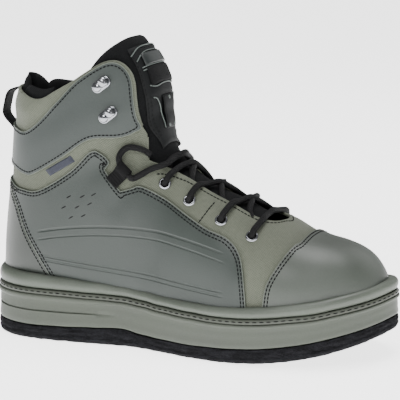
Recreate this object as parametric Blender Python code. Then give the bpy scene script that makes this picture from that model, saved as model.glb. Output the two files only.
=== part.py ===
# Ankle-high wading boot for the right foot, felt sole, about EU 43.
# Metres. +X runs to the toe, +Y to the inner side of the foot, +Z up.
# The origin lies on the ground under the middle of the heel.

import math
import bpy
import bmesh
from mathutils import Vector

# Main sizes
SOLE_LENGTH = 0.3095
BALL_WIDTH = 0.1155
UPPER_HEIGHT = 0.176
TOE_SPRING = 0.022
SPRING_START = 0.60

# Sizes that follow the main ones
SOLE_BACK = SOLE_LENGTH * 0.1357
UPPER_LENGTH = SOLE_LENGTH * 0.9515
UPPER_BACK = SOLE_LENGTH * 0.1195
UPPER_WIDTH = BALL_WIDTH * 0.8745

# Wall, layers and clearances
GAP = 0.0003
WALL = 0.0022
LAYER = 0.0013
SEAM = 0.0006
FELT_THICKNESS = 0.0105
MIDSOLE_THICKNESS = 0.0234
SEAT_HEIGHT = FELT_THICKNESS + MIDSOLE_THICKNESS
STRIP_HEIGHT = 0.0036
RAND_DEPTH = 0.0118
RAND_HEIGHT = 0.016
INSOLE_THICKNESS = 0.0060
OPENING_INSET = 0.0165

# Trim
LACE_DIAMETER = 0.0045
EYELET_RADIUS = 0.0045
EYELET_HOLE = 0.0026
EYELET_HEIGHT = 0.0010
HOOK_LENGTH = 0.0155
HOOK_WIDTH = 0.0085
STRAP_WIDTH = 0.0110
STRAP_THICKNESS = 0.0014
TONGUE_THICKNESS = 0.0100
PADDING_THICKNESS = 0.0070
ARC_POINTS = 24
SKIN_SIDES = 24

# One row per section of the last, from the toe to the top of the shaft.
# foot x, foot z (None = on the midsole), crown x, crown z, outer edge,
# inner edge, height share of the widest place, lower power, upper power
SECTIONS = [
    (1.003, None, 1.001, 0.111, -0.020, 0.119, 0.50, 2.0, 2.0),
    (0.998, None, 0.993, 0.145, -0.099, 0.188, 0.42, 2.6, 2.2),
    (0.988, None, 0.978, 0.182, -0.168, 0.257, 0.36, 3.4, 2.3),
    (0.971, None, 0.954, 0.222, -0.238, 0.327, 0.33, 4.0, 2.3),
    (0.944, None, 0.924, 0.250, -0.307, 0.386, 0.30, 5.0, 2.3),
    (0.908, None, 0.886, 0.270, -0.371, 0.431, 0.28, 5.0, 2.3),
    (0.866, None, 0.849, 0.284, -0.426, 0.465, 0.26, 5.0, 2.25),
    (0.822, None, 0.815, 0.307, -0.470, 0.485, 0.25, 5.0, 2.15),
    (0.771, None, 0.767, 0.350, -0.495, 0.490, 0.24, 5.0, 2.15),
    (0.710, None, 0.706, 0.391, -0.500, 0.470, 0.23, 5.0, 2.25),
    (0.642, None, 0.642, 0.443, -0.490, 0.436, 0.23, 5.0, 2.35),
    (0.574, None, 0.587, 0.485, -0.460, 0.391, 0.24, 5.0, 2.4),
    (0.503, None, 0.540, 0.531, -0.421, 0.356, 0.25, 5.0, 2.45),
    (0.428, None, 0.506, 0.572, -0.376, 0.337, 0.27, 5.0, 2.45),
    (0.343, None, 0.482, 0.615, -0.371, 0.342, 0.30, 5.0, 2.45),
    (0.248, None, 0.467, 0.659, -0.381, 0.361, 0.32, 5.0, 2.5),
    (0.153, None, 0.457, 0.699, -0.386, 0.371, 0.34, 4.2, 2.55),
    (0.058, None, 0.450, 0.736, -0.386, 0.371, 0.36, 3.0, 2.6),
    (0.008, 0.011, 0.445, 0.778, -0.381, 0.371, 0.38, 2.3, 2.75),
    (0.002, 0.131, 0.441, 0.824, -0.376, 0.371, 0.40, 2.1, 2.9),
    (0.007, 0.256, 0.437, 0.869, -0.371, 0.366, 0.42, 2.1, 3.0),
    (0.015, 0.375, 0.431, 0.915, -0.366, 0.361, 0.43, 2.1, 3.0),
    (0.022, 0.494, 0.423, 0.960, -0.361, 0.356, 0.44, 2.1, 3.0),
    (0.028, 0.614, 0.411, 1.006, -0.356, 0.351, 0.45, 2.1, 3.0),
    (0.033, 0.733, 0.397, 1.048, -0.347, 0.342, 0.45, 2.1, 3.0),
    (0.041, 0.852, 0.385, 1.091, -0.337, 0.337, 0.45, 2.1, 3.0),
    (0.048, 0.966, 0.374, 1.136, -0.332, 0.332, 0.45, 2.1, 3.0),
]

# Shares of the sole length: station, outer edge, inner edge (of the ball width)
OUTLINE = [
    (0.000, 0.000, 0.000),
    (0.005, -0.104, 0.095),
    (0.019, -0.208, 0.195),
    (0.045, -0.294, 0.277),
    (0.084, -0.359, 0.338),
    (0.136, -0.394, 0.368),
    (0.207, -0.398, 0.372),
    (0.284, -0.385, 0.346),
    (0.349, -0.364, 0.316),
    (0.407, -0.364, 0.312),
    (0.472, -0.403, 0.342),
    (0.543, -0.455, 0.390),
    (0.620, -0.489, 0.437),
    (0.691, -0.502, 0.472),
    (0.756, -0.494, 0.494),
    (0.814, -0.463, 0.498),
    (0.866, -0.411, 0.476),
    (0.911, -0.342, 0.429),
    (0.950, -0.242, 0.346),
    (0.976, -0.139, 0.260),
    (0.992, -0.035, 0.173),
    (1.000, 0.069, 0.069),
]

# Station, felt, midsole and rand as shares of their named thickness
SIDE_HEIGHTS = [
    (0.000, 1.00, 1.00, 1.00),
    (0.136, 0.97, 1.01, 0.91),
    (0.216, 1.03, 0.98, 0.85),
    (0.297, 1.14, 0.91, 0.78),
    (0.368, 1.22, 0.85, 0.73),
    (0.426, 0.97, 0.90, 0.70),
    (0.475, 0.90, 0.87, 0.69),
    (0.556, 0.88, 0.84, 0.69),
    (0.620, 0.95, 0.78, 0.70),
    (0.701, 1.00, 0.75, 0.74),
    (0.782, 1.03, 0.73, 0.78),
    (0.879, 1.01, 0.67, 0.81),
    (1.000, 0.90, 0.60, 0.84),
]

# Side-view lines: share of the upper's length, share of its height
COLLAR = [
    (-0.100, 0.847), (0.031, 0.847), (0.051, 0.844), (0.078, 0.830),
    (0.119, 0.812), (0.153, 0.818), (0.194, 0.858), (0.238, 0.903),
    (0.268, 0.938), (0.306, 0.977), (0.336, 1.000), (0.360, 0.997),
    (0.384, 0.966), (0.398, 0.920), (0.402, 0.850), (0.408, 0.760),
    (0.421, 0.700), (0.440, 0.676), (0.560, 0.640),
]
ANKLE_PANEL = [
    (-0.100, 0.693), (0.031, 0.693), (0.058, 0.682), (0.098, 0.676),
    (0.143, 0.722), (0.197, 0.801), (0.268, 0.920), (0.309, 0.966),
    (0.336, 0.984), (0.358, 0.979), (0.377, 0.949), (0.388, 0.903),
    (0.393, 0.830), (0.401, 0.761), (0.411, 0.716), (0.380, 0.696),
    (0.340, 0.690), (0.272, 0.665), (0.204, 0.582), (0.126, 0.506),
    (0.095, 0.500), (0.065, 0.511), (0.031, 0.528), (-0.100, 0.528),
]
QUARTER_PANEL = [
    (0.034, 0.455), (0.065, 0.438), (0.095, 0.432), (0.146, 0.438),
    (0.231, 0.523), (0.282, 0.605), (0.302, 0.619), (0.323, 0.599),
    (0.336, 0.568), (0.326, 0.540), (0.370, 0.457), (0.397, 0.472),
    (0.421, 0.480), (0.486, 0.435), (0.591, 0.341), (0.642, 0.301),
    (0.669, 0.244), (0.685, 0.148), (0.690, 0.006), (0.690, -0.193),
    (0.194, -0.193), (0.177, 0.068), (0.139, 0.170), (0.102, 0.261),
    (0.071, 0.358), (0.041, 0.420),
]
HEEL_COUNTER = [
    (-0.100, 0.466), (0.024, 0.460), (0.034, 0.455), (0.041, 0.420),
    (0.071, 0.358), (0.102, 0.261), (0.139, 0.170), (0.177, 0.068),
    (0.194, -0.193), (-0.100, -0.193),
]
TOE_CAP = [
    (0.832, 0.432), (0.822, 0.301), (0.812, 0.284), (0.800, 0.250),
    (0.784, 0.199), (0.766, 0.131), (0.759, 0.051), (0.757, -0.193),
    (1.110, -0.193), (1.110, 0.432),
]
# Half of the throat from above: share of the length, share of the width
THROAT = [
    (0.762, 0.000), (0.759, 0.070), (0.750, 0.125), (0.735, 0.165),
    (0.712, 0.192), (0.680, 0.206), (0.600, 0.216), (0.520, 0.224),
    (0.460, 0.236), (0.432, 0.252), (0.412, 0.262),
]
# Side-view places of the trim
THROAT_EDGE = 0.222
LOOP_PLACE = (0.375, 0.543)
LOOP_TURN = math.radians(47.0)
LOOP_LIFT = 0.0004
BAND_WIDTH = 0.0105
BAND_THICKNESS = 0.0010
EYELETS = [(0.711, 0.312), (0.632, 0.369), (0.544, 0.436), (0.474, 0.494)]
HOOKS = [(0.317, 0.893), (0.335, 0.770)]
HOOK_TURN = math.radians(38.0)
# Pull loop seen from the side, from its lower seam over the collar edge
PULL_LOOP = [
    (0.0205, 0.6426), (0.0136, 0.6767), (-0.0102, 0.7051), (-0.0187, 0.7335), (-0.0153, 0.7790),
    (-0.0051, 0.8301), (0.0102, 0.8585), (0.0323, 0.8688), (0.0543, 0.8710),
]

SMALL = 1e-9
REACH = BALL_WIDTH
START_X = -SOLE_BACK * 1.4
END_X = SOLE_LENGTH


def lerp(a, b, t):
    return a + (b - a) * t


def table(rows, x, column):
    if x <= rows[0][0]:
        return rows[0][column]
    for low, high in zip(rows, rows[1:]):
        if x <= high[0]:
            t = (x - low[0]) / (high[0] - low[0])
            t = t * t * (3 - 2 * t)
            return lerp(low[column], high[column], t)
    return rows[-1][column]


def catmull(p0, p1, p2, p3, t):
    return 0.5 * (2 * p1 + (p2 - p0) * t + (2 * p0 - 5 * p1 + 4 * p2 - p3) * t * t
                  + (3 * p1 - p0 - 3 * p2 + p3) * t * t * t)


# Heights of the sole's layers at a place along the foot

def station(x):
    return (x + SOLE_BACK) / SOLE_LENGTH


def groundLine(x):
    s = max(0.0, (station(x) - SPRING_START) / (1.0 - SPRING_START))
    return TOE_SPRING * s ** 2.2


def feltTop(x):
    return groundLine(x) + FELT_THICKNESS * table(SIDE_HEIGHTS, station(x), 1)


def midsoleTop(x):
    return feltTop(x) + GAP + MIDSOLE_THICKNESS * table(SIDE_HEIGHTS, station(x), 2)


def stripTop(x):
    return midsoleTop(x) + GAP + STRIP_HEIGHT


def randTop(x):
    return midsoleTop(x) + RAND_HEIGHT * table(SIDE_HEIGHTS, station(x), 3)


def lengthOf(share):
    return share * UPPER_LENGTH - UPPER_BACK


def heightOf(share):
    return SEAT_HEIGHT + share * UPPER_HEIGHT


# The last: sections in planes that fan from upright at the toe to level at the top

def sectionRows():
    rows = []
    for footX, footZ, crownX, crownZ, outer, inner, wide, low, high in SECTIONS:
        x = lengthOf(footX)
        z = midsoleTop(x) - GAP if footZ is None else heightOf(footZ)
        rows.append((x, z, lengthOf(crownX), heightOf(crownZ), outer * UPPER_WIDTH,
                     inner * UPPER_WIDTH, wide, low, high))
    return rows


ROWS = sectionRows()
LAST_ROW = len(ROWS) - 1


def rowAt(u):
    u = min(max(u, 0.0), LAST_ROW - SMALL)
    k = int(u)
    t = u - k
    a = ROWS[max(k - 1, 0)]
    b = ROWS[k]
    c = ROWS[k + 1]
    d = ROWS[min(k + 2, LAST_ROW)]
    return [catmull(a[i], b[i], c[i], d[i], t) for i in range(9)]


def lastPoint(u, angle):
    footX, footZ, crownX, crownZ, outer, inner, wide, low, high = rowAt(u)
    c = math.cos(angle)
    s = math.sin(angle)
    power = high if c >= 0 else low
    span = (1 - wide) if c >= 0 else wide
    up = wide + math.copysign(span * abs(c) ** (2 / power), c)
    side = math.copysign(abs(s) ** (2 / power), s)
    y = (outer + inner) / 2 + side * (inner - outer) / 2
    return Vector((lerp(footX, crownX, up), y, lerp(footZ, crownZ, up)))


def lastNormal(u, angle):
    stepU = 0.04
    stepA = 0.03
    alongU = lastPoint(min(u + stepU, LAST_ROW), angle) - lastPoint(max(u - stepU, 0.0), angle)
    alongA = lastPoint(u, angle + stepA) - lastPoint(u, angle - stepA)
    normal = alongU.cross(alongA).normalized()
    row = rowAt(u)
    centre = Vector(((row[0] + row[2]) / 2, (row[4] + row[5]) / 2, (row[1] + row[3]) / 2))
    if normal.dot(lastPoint(u, angle) - centre) < 0:
        normal = -normal
    return normal


def skinPoint(u, angle, offset):
    return lastPoint(u, angle) + lastNormal(u, angle) * offset


def onSide(x, z, side):
    # Nearest place on the last to a point of the side view; side is -1 outer, +1 inner
    best = (1e9, 0.0, 0.0)
    for k in range(0, LAST_ROW * 2):
        for j in range(1, 36):
            angle = side * math.radians(j * 5)
            p = lastPoint(k / 2, angle)
            d = (p.x - x) ** 2 + (p.z - z) ** 2
            if d < best[0]:
                best = (d, k / 2, angle)
    stepU = 0.25
    stepA = math.radians(2.5)
    for _ in range(14):
        for du in (-stepU, 0, stepU):
            for da in (-stepA, 0, stepA):
                u = min(max(best[1] + du, 0.0), LAST_ROW)
                p = lastPoint(u, best[2] + da)
                d = (p.x - x) ** 2 + (p.z - z) ** 2
                if d < best[0]:
                    best = (d, u, best[2] + da)
        stepU *= 0.6
        stepA *= 0.6
    return best[1], best[2]


# Scene helpers

def clearScene():
    for item in list(bpy.data.objects):
        bpy.data.objects.remove(item, do_unlink=True)
    for mesh in list(bpy.data.meshes):
        bpy.data.meshes.remove(mesh)


def newObject(name, bm):
    bmesh.ops.recalc_face_normals(bm, faces=bm.faces)
    mesh = bpy.data.meshes.new(name)
    bm.to_mesh(mesh)
    bm.free()
    item = bpy.data.objects.new(name, mesh)
    bpy.context.scene.collection.objects.link(item)
    return item


def boolean(target, cutter, operation, keep=False):
    modifier = target.modifiers.new("cut", "BOOLEAN")
    modifier.operation = operation
    modifier.solver = "EXACT"
    modifier.object = cutter
    graph = bpy.context.evaluated_depsgraph_get()
    graph.update()
    mesh = bpy.data.meshes.new_from_object(target.evaluated_get(graph))
    target.modifiers.clear()
    target.data = mesh
    if not keep:
        bpy.data.objects.remove(cutter, do_unlink=True)
    return target


def tidy(item):
    # Merges what a Boolean leaves doubled, with a smaller reach if that opens the body
    for reach in (0.00002, 0.000008, 0.000003, 0.0000005):
        bm = bmesh.new()
        bm.from_mesh(item.data)
        bmesh.ops.remove_doubles(bm, verts=bm.verts, dist=reach)
        bmesh.ops.dissolve_degenerate(bm, dist=reach / 2, edges=bm.edges)
        bmesh.ops.triangulate(bm, faces=bm.faces)
        bmesh.ops.recalc_face_normals(bm, faces=bm.faces)
        closed = all(len(edge.link_faces) == 2 for edge in bm.edges)
        if closed:
            bm.to_mesh(item.data)
        bm.free()
        if closed:
            break
    return item


def keepLargest(item):
    bm = bmesh.new()
    bm.from_mesh(item.data)
    seen = set()
    groups = []
    for vert in bm.verts:
        if vert in seen:
            continue
        stack = [vert]
        seen.add(vert)
        group = []
        while stack:
            v = stack.pop()
            group.append(v)
            for edge in v.link_edges:
                other = edge.other_vert(v)
                if other not in seen:
                    seen.add(other)
                    stack.append(other)
        groups.append(group)
    groups.sort(key=len)
    for group in groups[:-1]:
        bmesh.ops.delete(bm, geom=group, context="VERTS")
    bm.to_mesh(item.data)
    bm.free()
    return item


def material(item, name, color, roughness, metallic=0.0, smooth=True):
    look = bpy.data.materials.new(name)
    look.use_nodes = True
    shader = look.node_tree.nodes["Principled BSDF"]
    shader.inputs["Base Color"].default_value = (*color, 1.0)
    shader.inputs["Roughness"].default_value = roughness
    shader.inputs["Metallic"].default_value = metallic
    item.data.materials.clear()
    item.data.materials.append(look)
    for face in item.data.polygons:
        face.use_smooth = smooth
    return item


def prism(name, points, axis, low, high):
    bm = bmesh.new()
    if axis == "Y":
        verts = [bm.verts.new((a, low, b)) for a, b in points]
        move = (0, high - low, 0)
    else:
        verts = [bm.verts.new((a, b, low)) for a, b in points]
        move = (0, 0, high - low)
    face = bm.faces.new(verts)
    result = bmesh.ops.extrude_face_region(bm, geom=[face])
    moved = [g for g in result["geom"] if isinstance(g, bmesh.types.BMVert)]
    bmesh.ops.translate(bm, verts=moved, vec=move)
    bmesh.ops.triangulate(bm, faces=[f for f in bm.faces if len(f.verts) > 4])
    return newObject(name, bm)


def sidePolygon(rows):
    return [(lengthOf(a), heightOf(b)) for a, b in rows]


def shrunk(points, inset):
    # Moves each edge of a closed side-view line inward by the inset
    count = len(points)
    area = sum(points[i][0] * points[(i + 1) % count][1] - points[(i + 1) % count][0] * points[i][1]
               for i in range(count))
    turn = 1.0 if area > 0 else -1.0
    moved = []
    for i in range(count):
        before = Vector(points[i - 1])
        here = Vector(points[i])
        after = Vector(points[(i + 1) % count])
        a = (here - before).normalized()
        b = (after - here).normalized()
        normalA = Vector((-a.y, a.x)) * turn
        normalB = Vector((-b.y, b.x)) * turn
        bisector = (normalA + normalB).normalized()
        reach = inset / max(0.4, bisector.dot(normalA))
        moved.append(tuple(here + bisector * reach))
    return moved


# Solids from the last

def skin(name, offset):
    bm = bmesh.new()
    endRow = LAST_ROW - 0.25 + min(0.2, offset * 80)
    stations = list(range(LAST_ROW)) + [endRow]
    rings = []
    for u in stations:
        rings.append([bm.verts.new(skinPoint(u, 2 * math.pi * j / SKIN_SIDES, offset))
                      for j in range(SKIN_SIDES)])
    for a, b in zip(rings, rings[1:]):
        for j in range(SKIN_SIDES):
            n = (j + 1) % SKIN_SIDES
            bm.faces.new((a[j], a[n], b[n], b[j]))
    for ring, push in ((rings[0], Vector((1, 0, 0))), (rings[-1], Vector((0, 0, 1)))):
        middle = sum((v.co for v in ring), Vector()) / SKIN_SIDES + push * offset
        centre = bm.verts.new(middle)
        for j in range(SKIN_SIDES):
            bm.faces.new((ring[j], ring[(j + 1) % SKIN_SIDES], centre))
    return newObject(name, bm)


def softPatch(name, rows, columns, place, outer, inner, edge=(0.35, 0.8)):
    # A padded sheet on the last. place(i, j) gives section and angle, outer and inner
    # give the two offsets; the edge thins in steps so that the rim is round.
    bm = bmesh.new()
    sides = []
    for pick in (0, 1):
        grid = []
        for i in range(rows):
            line = []
            for j in range(columns):
                u, angle = place(i / (rows - 1), j / (columns - 1))
                top = outer(u, angle)
                bottom = inner(u, angle)
                rim = min(i, j, rows - 1 - i, columns - 1 - j)
                share = edge[rim] if rim < len(edge) else 1.0
                middle = (top + bottom) / 2
                half = (top - bottom) / 2 * share
                offset = middle + half if pick == 0 else middle - half
                line.append(bm.verts.new(skinPoint(u, angle, offset)))
            grid.append(line)
        sides.append(grid)
    for grid in sides:
        for i in range(rows - 1):
            for j in range(columns - 1):
                bm.faces.new((grid[i][j], grid[i][j + 1], grid[i + 1][j + 1], grid[i + 1][j]))
    border = [(0, j) for j in range(columns)] + [(i, columns - 1) for i in range(1, rows)]
    border += [(rows - 1, j) for j in range(columns - 2, -1, -1)]
    border += [(i, 0) for i in range(rows - 2, 0, -1)]
    for n in range(len(border)):
        a = border[n]
        b = border[(n + 1) % len(border)]
        bm.faces.new((sides[0][a[0]][a[1]], sides[0][b[0]][b[1]],
                      sides[1][b[0]][b[1]], sides[1][a[0]][a[1]]))
    return newObject(name, bm)


# Solids from the sole's outline

def outlinePath():
    rows = [(r[0] * SOLE_LENGTH - SOLE_BACK, r[1] * BALL_WIDTH, r[2] * BALL_WIDTH) for r in OUTLINE]
    paths = []
    for column in (1, 2):
        line = [Vector((r[0], r[column])) for r in rows]
        other = 3 - column
        line = [Vector((rows[1][0], rows[1][other]))] + line + [Vector((rows[-2][0], rows[-2][other]))]
        fine = []
        for k in range(1, len(line) - 2):
            for m in range(12):
                fine.append(catmull(line[k - 1], line[k], line[k + 1], line[k + 2], m / 12))
        fine.append(line[-2])
        lengths = [0.0]
        for a, b in zip(fine, fine[1:]):
            lengths.append(lengths[-1] + (b - a).length)
        even = []
        for n in range(ARC_POINTS + 1):
            target = lengths[-1] * n / ARC_POINTS
            k = 0
            while k < len(lengths) - 2 and lengths[k + 1] < target:
                k += 1
            t = (target - lengths[k]) / max(SMALL, lengths[k + 1] - lengths[k])
            even.append(fine[k].lerp(fine[k + 1], t))
        paths.append(even)
    outer, inner = paths
    return outer + inner[-2:0:-1]


PATH = outlinePath()


def insetPath(inset):
    count = len(PATH)
    moved = []
    for i in range(count):
        tangent = (PATH[(i + 1) % count] - PATH[i - 1]).normalized()
        normal = Vector((-tangent.y, tangent.x))
        amount = inset(PATH[i].x) if callable(inset) else inset
        moved.append(PATH[i] + normal * amount)
    return moved


def slab(name, rings):
    # rings: list of (inset, height function of x), from the bottom up
    bm = bmesh.new()
    count = len(PATH)
    loops = []
    for inset, height in rings:
        loops.append([bm.verts.new((p.x, p.y, height(p.x))) for p in insetPath(inset)])
    for a, b in zip(loops, loops[1:]):
        for i in range(count):
            n = (i + 1) % count
            bm.faces.new((a[i], a[n], b[n], b[i]))
    for loop in (loops[0], loops[-1]):
        bm.faces.new((loop[0], loop[1], loop[count - 1]))
        for i in range(1, ARC_POINTS - 1):
            bm.faces.new((loop[i], loop[i + 1], loop[count - i - 1], loop[count - i]))
        bm.faces.new((loop[ARC_POINTS - 1], loop[ARC_POINTS], loop[ARC_POINTS + 1]))
    return newObject(name, bm)


def between(lower, upper, share, lift=0.0):
    return lambda x: lerp(lower(x), upper(x), share) + lift


def lineAlong(function, lift, low, high):
    points = [(lerp(low, high, k / 40), function(lerp(low, high, k / 40)) + lift) for k in range(41)]
    return points


# Sole group

def buildSole():
    felt = slab("felt_outsole", [
        (0.0022, groundLine),
        (0.0008, lambda x: groundLine(x) + 0.0016),
        (0.0006, between(groundLine, feltTop, 0.85)),
        (0.0012, feltTop),
    ])
    material(felt, "felt", (0.020, 0.020, 0.022), 0.95)

    def grooveInset(x):
        return 0.0012 + 0.0010 * max(0.0, min(1.0, (lengthOf(0.36) - x) / 0.02))

    low = lambda x: feltTop(x) + GAP
    midsole = slab("midsole", [
        (0.0016, low),
        (0.0008, between(low, midsoleTop, 0.06)),
        (0.0012, between(low, midsoleTop, 0.45)),
        (grooveInset, between(low, midsoleTop, 0.50)),
        (0.0012, between(low, midsoleTop, 0.55)),
        (0.0014, between(low, midsoleTop, 0.82)),
        (0.0002, between(low, midsoleTop, 0.86)),
        (0.0002, between(low, midsoleTop, 0.96)),
        (0.0012, midsoleTop),
    ])
    material(midsole, "moulded foam", (0.200, 0.205, 0.190), 0.55)

    hollow = slab("hollow cutter", [(RAND_DEPTH, lambda x: -SEAT_HEIGHT),
                                    (RAND_DEPTH, lambda x: heightOf(0.5))])
    body = skin("rand seat cutter", GAP)
    strip = slab("welt_strip", [
        (0.0010, lambda x: midsoleTop(x) + GAP),
        (0.0008, lambda x: stripTop(x) - 0.0008),
        (0.0016, stripTop),
    ])
    boolean(strip, body, "DIFFERENCE", keep=True)
    boolean(strip, hollow, "DIFFERENCE", keep=True)
    tidy(keepLargest(strip))
    material(strip, "welt strip", (0.155, 0.168, 0.148), 0.5)

    base = lambda x: stripTop(x) + GAP
    rand = slab("rand_roll", [
        (0.0030, base),
        (0.0016, between(base, randTop, 0.25)),
        (0.0014, between(base, randTop, 0.60)),
        (0.0026, between(base, randTop, 0.88)),
        (0.0046, randTop),
    ])
    boolean(rand, body, "DIFFERENCE")
    boolean(rand, hollow, "DIFFERENCE")
    tidy(keepLargest(rand))
    material(rand, "rand rubber", (0.215, 0.230, 0.205), 0.5)


def buildUpper():
    upper = skin("upper", 0.0)
    boolean(upper, skin("inside cutter", -WALL), "DIFFERENCE")
    collar = sidePolygon(COLLAR)
    top = heightOf(1.3)
    boolean(upper, prism("collar cutter", collar + [(collar[-1][0], top), (collar[0][0], top)],
                         "Y", -REACH, REACH), "DIFFERENCE")
    half = [(lengthOf(a), b * UPPER_WIDTH) for a, b in THROAT]
    throat = [(a, -b) for a, b in half] + [(a, b) for a, b in reversed(half[1:])]
    boolean(upper, prism("throat cutter", throat, "Z", heightOf(0.16), top), "DIFFERENCE")
    seat = lineAlong(midsoleTop, GAP, START_X, END_X) + [(END_X, -SEAT_HEIGHT), (START_X, -SEAT_HEIGHT)]
    boolean(upper, prism("seat cutter", seat, "Y", -REACH, REACH), "DIFFERENCE")
    underside = slab("underside cutter", [(OPENING_INSET, lambda x: -SEAT_HEIGHT),
                                          (OPENING_INSET, lambda x: midsoleTop(x) + 4 * WALL)])
    boolean(upper, underside, "DIFFERENCE")
    for x, z in EYELETS:
        for side in (-1, 1):
            u, angle = onSide(lengthOf(x), heightOf(z), side)
            hole = cylinder("eyelet cutter", skinPoint(u, angle, -0.005), lastNormal(u, angle),
                            EYELET_HOLE + 0.0010, 0.012, 10)
            boolean(upper, hole, "DIFFERENCE")
    tidy(keepLargest(upper))
    material(upper, "woven textile", (0.190, 0.205, 0.165), 0.75)

    insole = slab("insole", [
        (OPENING_INSET + 0.0012, lambda x: midsoleTop(x) + GAP),
        (OPENING_INSET + 0.0007, lambda x: midsoleTop(x) + GAP + 0.0006),
        (OPENING_INSET + 0.0007, lambda x: midsoleTop(x) + INSOLE_THICKNESS - 0.0008),
        (OPENING_INSET + 0.0014, lambda x: midsoleTop(x) + INSOLE_THICKNESS),
    ])
    material(insole, "insole fabric", (0.030, 0.031, 0.033), 0.9)


def cylinder(name, start, direction, radius, length, sides):
    bm = bmesh.new()
    bmesh.ops.create_cone(bm, cap_ends=True, segments=sides, radius1=radius, radius2=radius, depth=length)
    bmesh.ops.translate(bm, verts=bm.verts, vec=(0, 0, length / 2))
    turn = Vector((0, 0, 1)).rotation_difference(direction)
    bmesh.ops.transform(bm, matrix=turn.to_matrix().to_4x4(), verts=bm.verts)
    bmesh.ops.translate(bm, verts=bm.verts, vec=start)
    return newObject(name, bm)


def overlay(name, outer, inner, keepOut, points, low, high, look):
    piece = outer.copy()
    piece.data = outer.data.copy()
    piece.name = name
    bpy.context.scene.collection.objects.link(piece)
    boolean(piece, prism(name + " cutter", shrunk(points, SEAM / 2), "Y", low, high), "INTERSECT")
    boolean(piece, inner, "DIFFERENCE", keep=True)
    boolean(piece, keepOut, "DIFFERENCE", keep=True)
    tidy(keepLargest(piece))
    material(piece, look, (0.155, 0.172, 0.160), 0.42)
    return piece


def buildOverlays():
    outer = skin("overlay outer", GAP + LAYER)
    inner = skin("overlay inner", GAP)
    line = lineAlong(randTop, GAP, START_X, END_X)
    line += [(END_X, -SEAT_HEIGHT), (START_X, -SEAT_HEIGHT)]
    keepOut = prism("rand cutter", line, "Y", -REACH, REACH)
    wide = REACH
    middle = 0.0
    overlay("toe_cap", outer, inner, keepOut, sidePolygon(TOE_CAP), -wide, wide, "smooth grey leather toe")
    overlay("quarter_panel_outer", outer, inner, keepOut, sidePolygon(QUARTER_PANEL), -wide, middle,
            "smooth grey leather outer")
    overlay("quarter_panel_inner", outer, inner, keepOut, sidePolygon(QUARTER_PANEL), middle, wide,
            "smooth grey leather inner")
    overlay("heel_counter", outer, inner, keepOut, sidePolygon(HEEL_COUNTER), -wide, wide,
            "smooth grey leather heel")
    overlay("ankle_panel", outer, inner, keepOut, sidePolygon(ANKLE_PANEL), -wide, wide,
            "smooth grey leather ankle")
    for item in (outer, inner, keepOut):
        bpy.data.objects.remove(item, do_unlink=True)


# Tongue, its trims and the collar padding

THROAT_ROW = 8.9
TOP_ROW = 25.8


def tongueHalf(u):
    rows = [(8.0, 30.0), (11.0, 46.0), (14.0, 58.0), (17.0, 70.0), (20.0, 80.0), (26.0, 82.0)]
    return math.radians(table(rows, u, 1))


def tonguePlace(a, b):
    across = 2 * b - 1
    top = TOP_ROW - 0.95 * across * across
    front = THROAT_ROW + 0.25 * across * across
    u = lerp(front, top, a)
    return u, across * tongueHalf(u)


def tongueOuter(u, angle):
    share = max(0.0, 1 - (abs(angle) / tongueHalf(u) / 0.42) ** 2)
    return -(WALL + 0.0008) + 0.0012 * share


def tongueInner(u, angle):
    shares = [(8.0, 0.30), (12.0, 0.45), (17.0, 0.65), (22.0, 0.90), (26.0, 1.0)]
    return tongueOuter(u, 0.0) - 0.0010 - TONGUE_THICKNESS * table(shares, u, 1)


def collarHeight(x):
    rows = [(lengthOf(a), heightOf(b)) for a, b in COLLAR]
    for low, high in zip(rows, rows[1:]):
        if x <= high[0]:
            return lerp(low[1], high[1], (x - low[0]) / (high[0] - low[0]))
    return rows[-1][1]


def collarRow(angle, lift):
    low = 20.0
    high = LAST_ROW - 0.01
    for _ in range(30):
        u = (low + high) / 2
        p = skinPoint(u, angle, -WALL)
        if p.z > collarHeight(p.x) + lift:
            high = u
        else:
            low = u
    return (low + high) / 2


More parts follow.
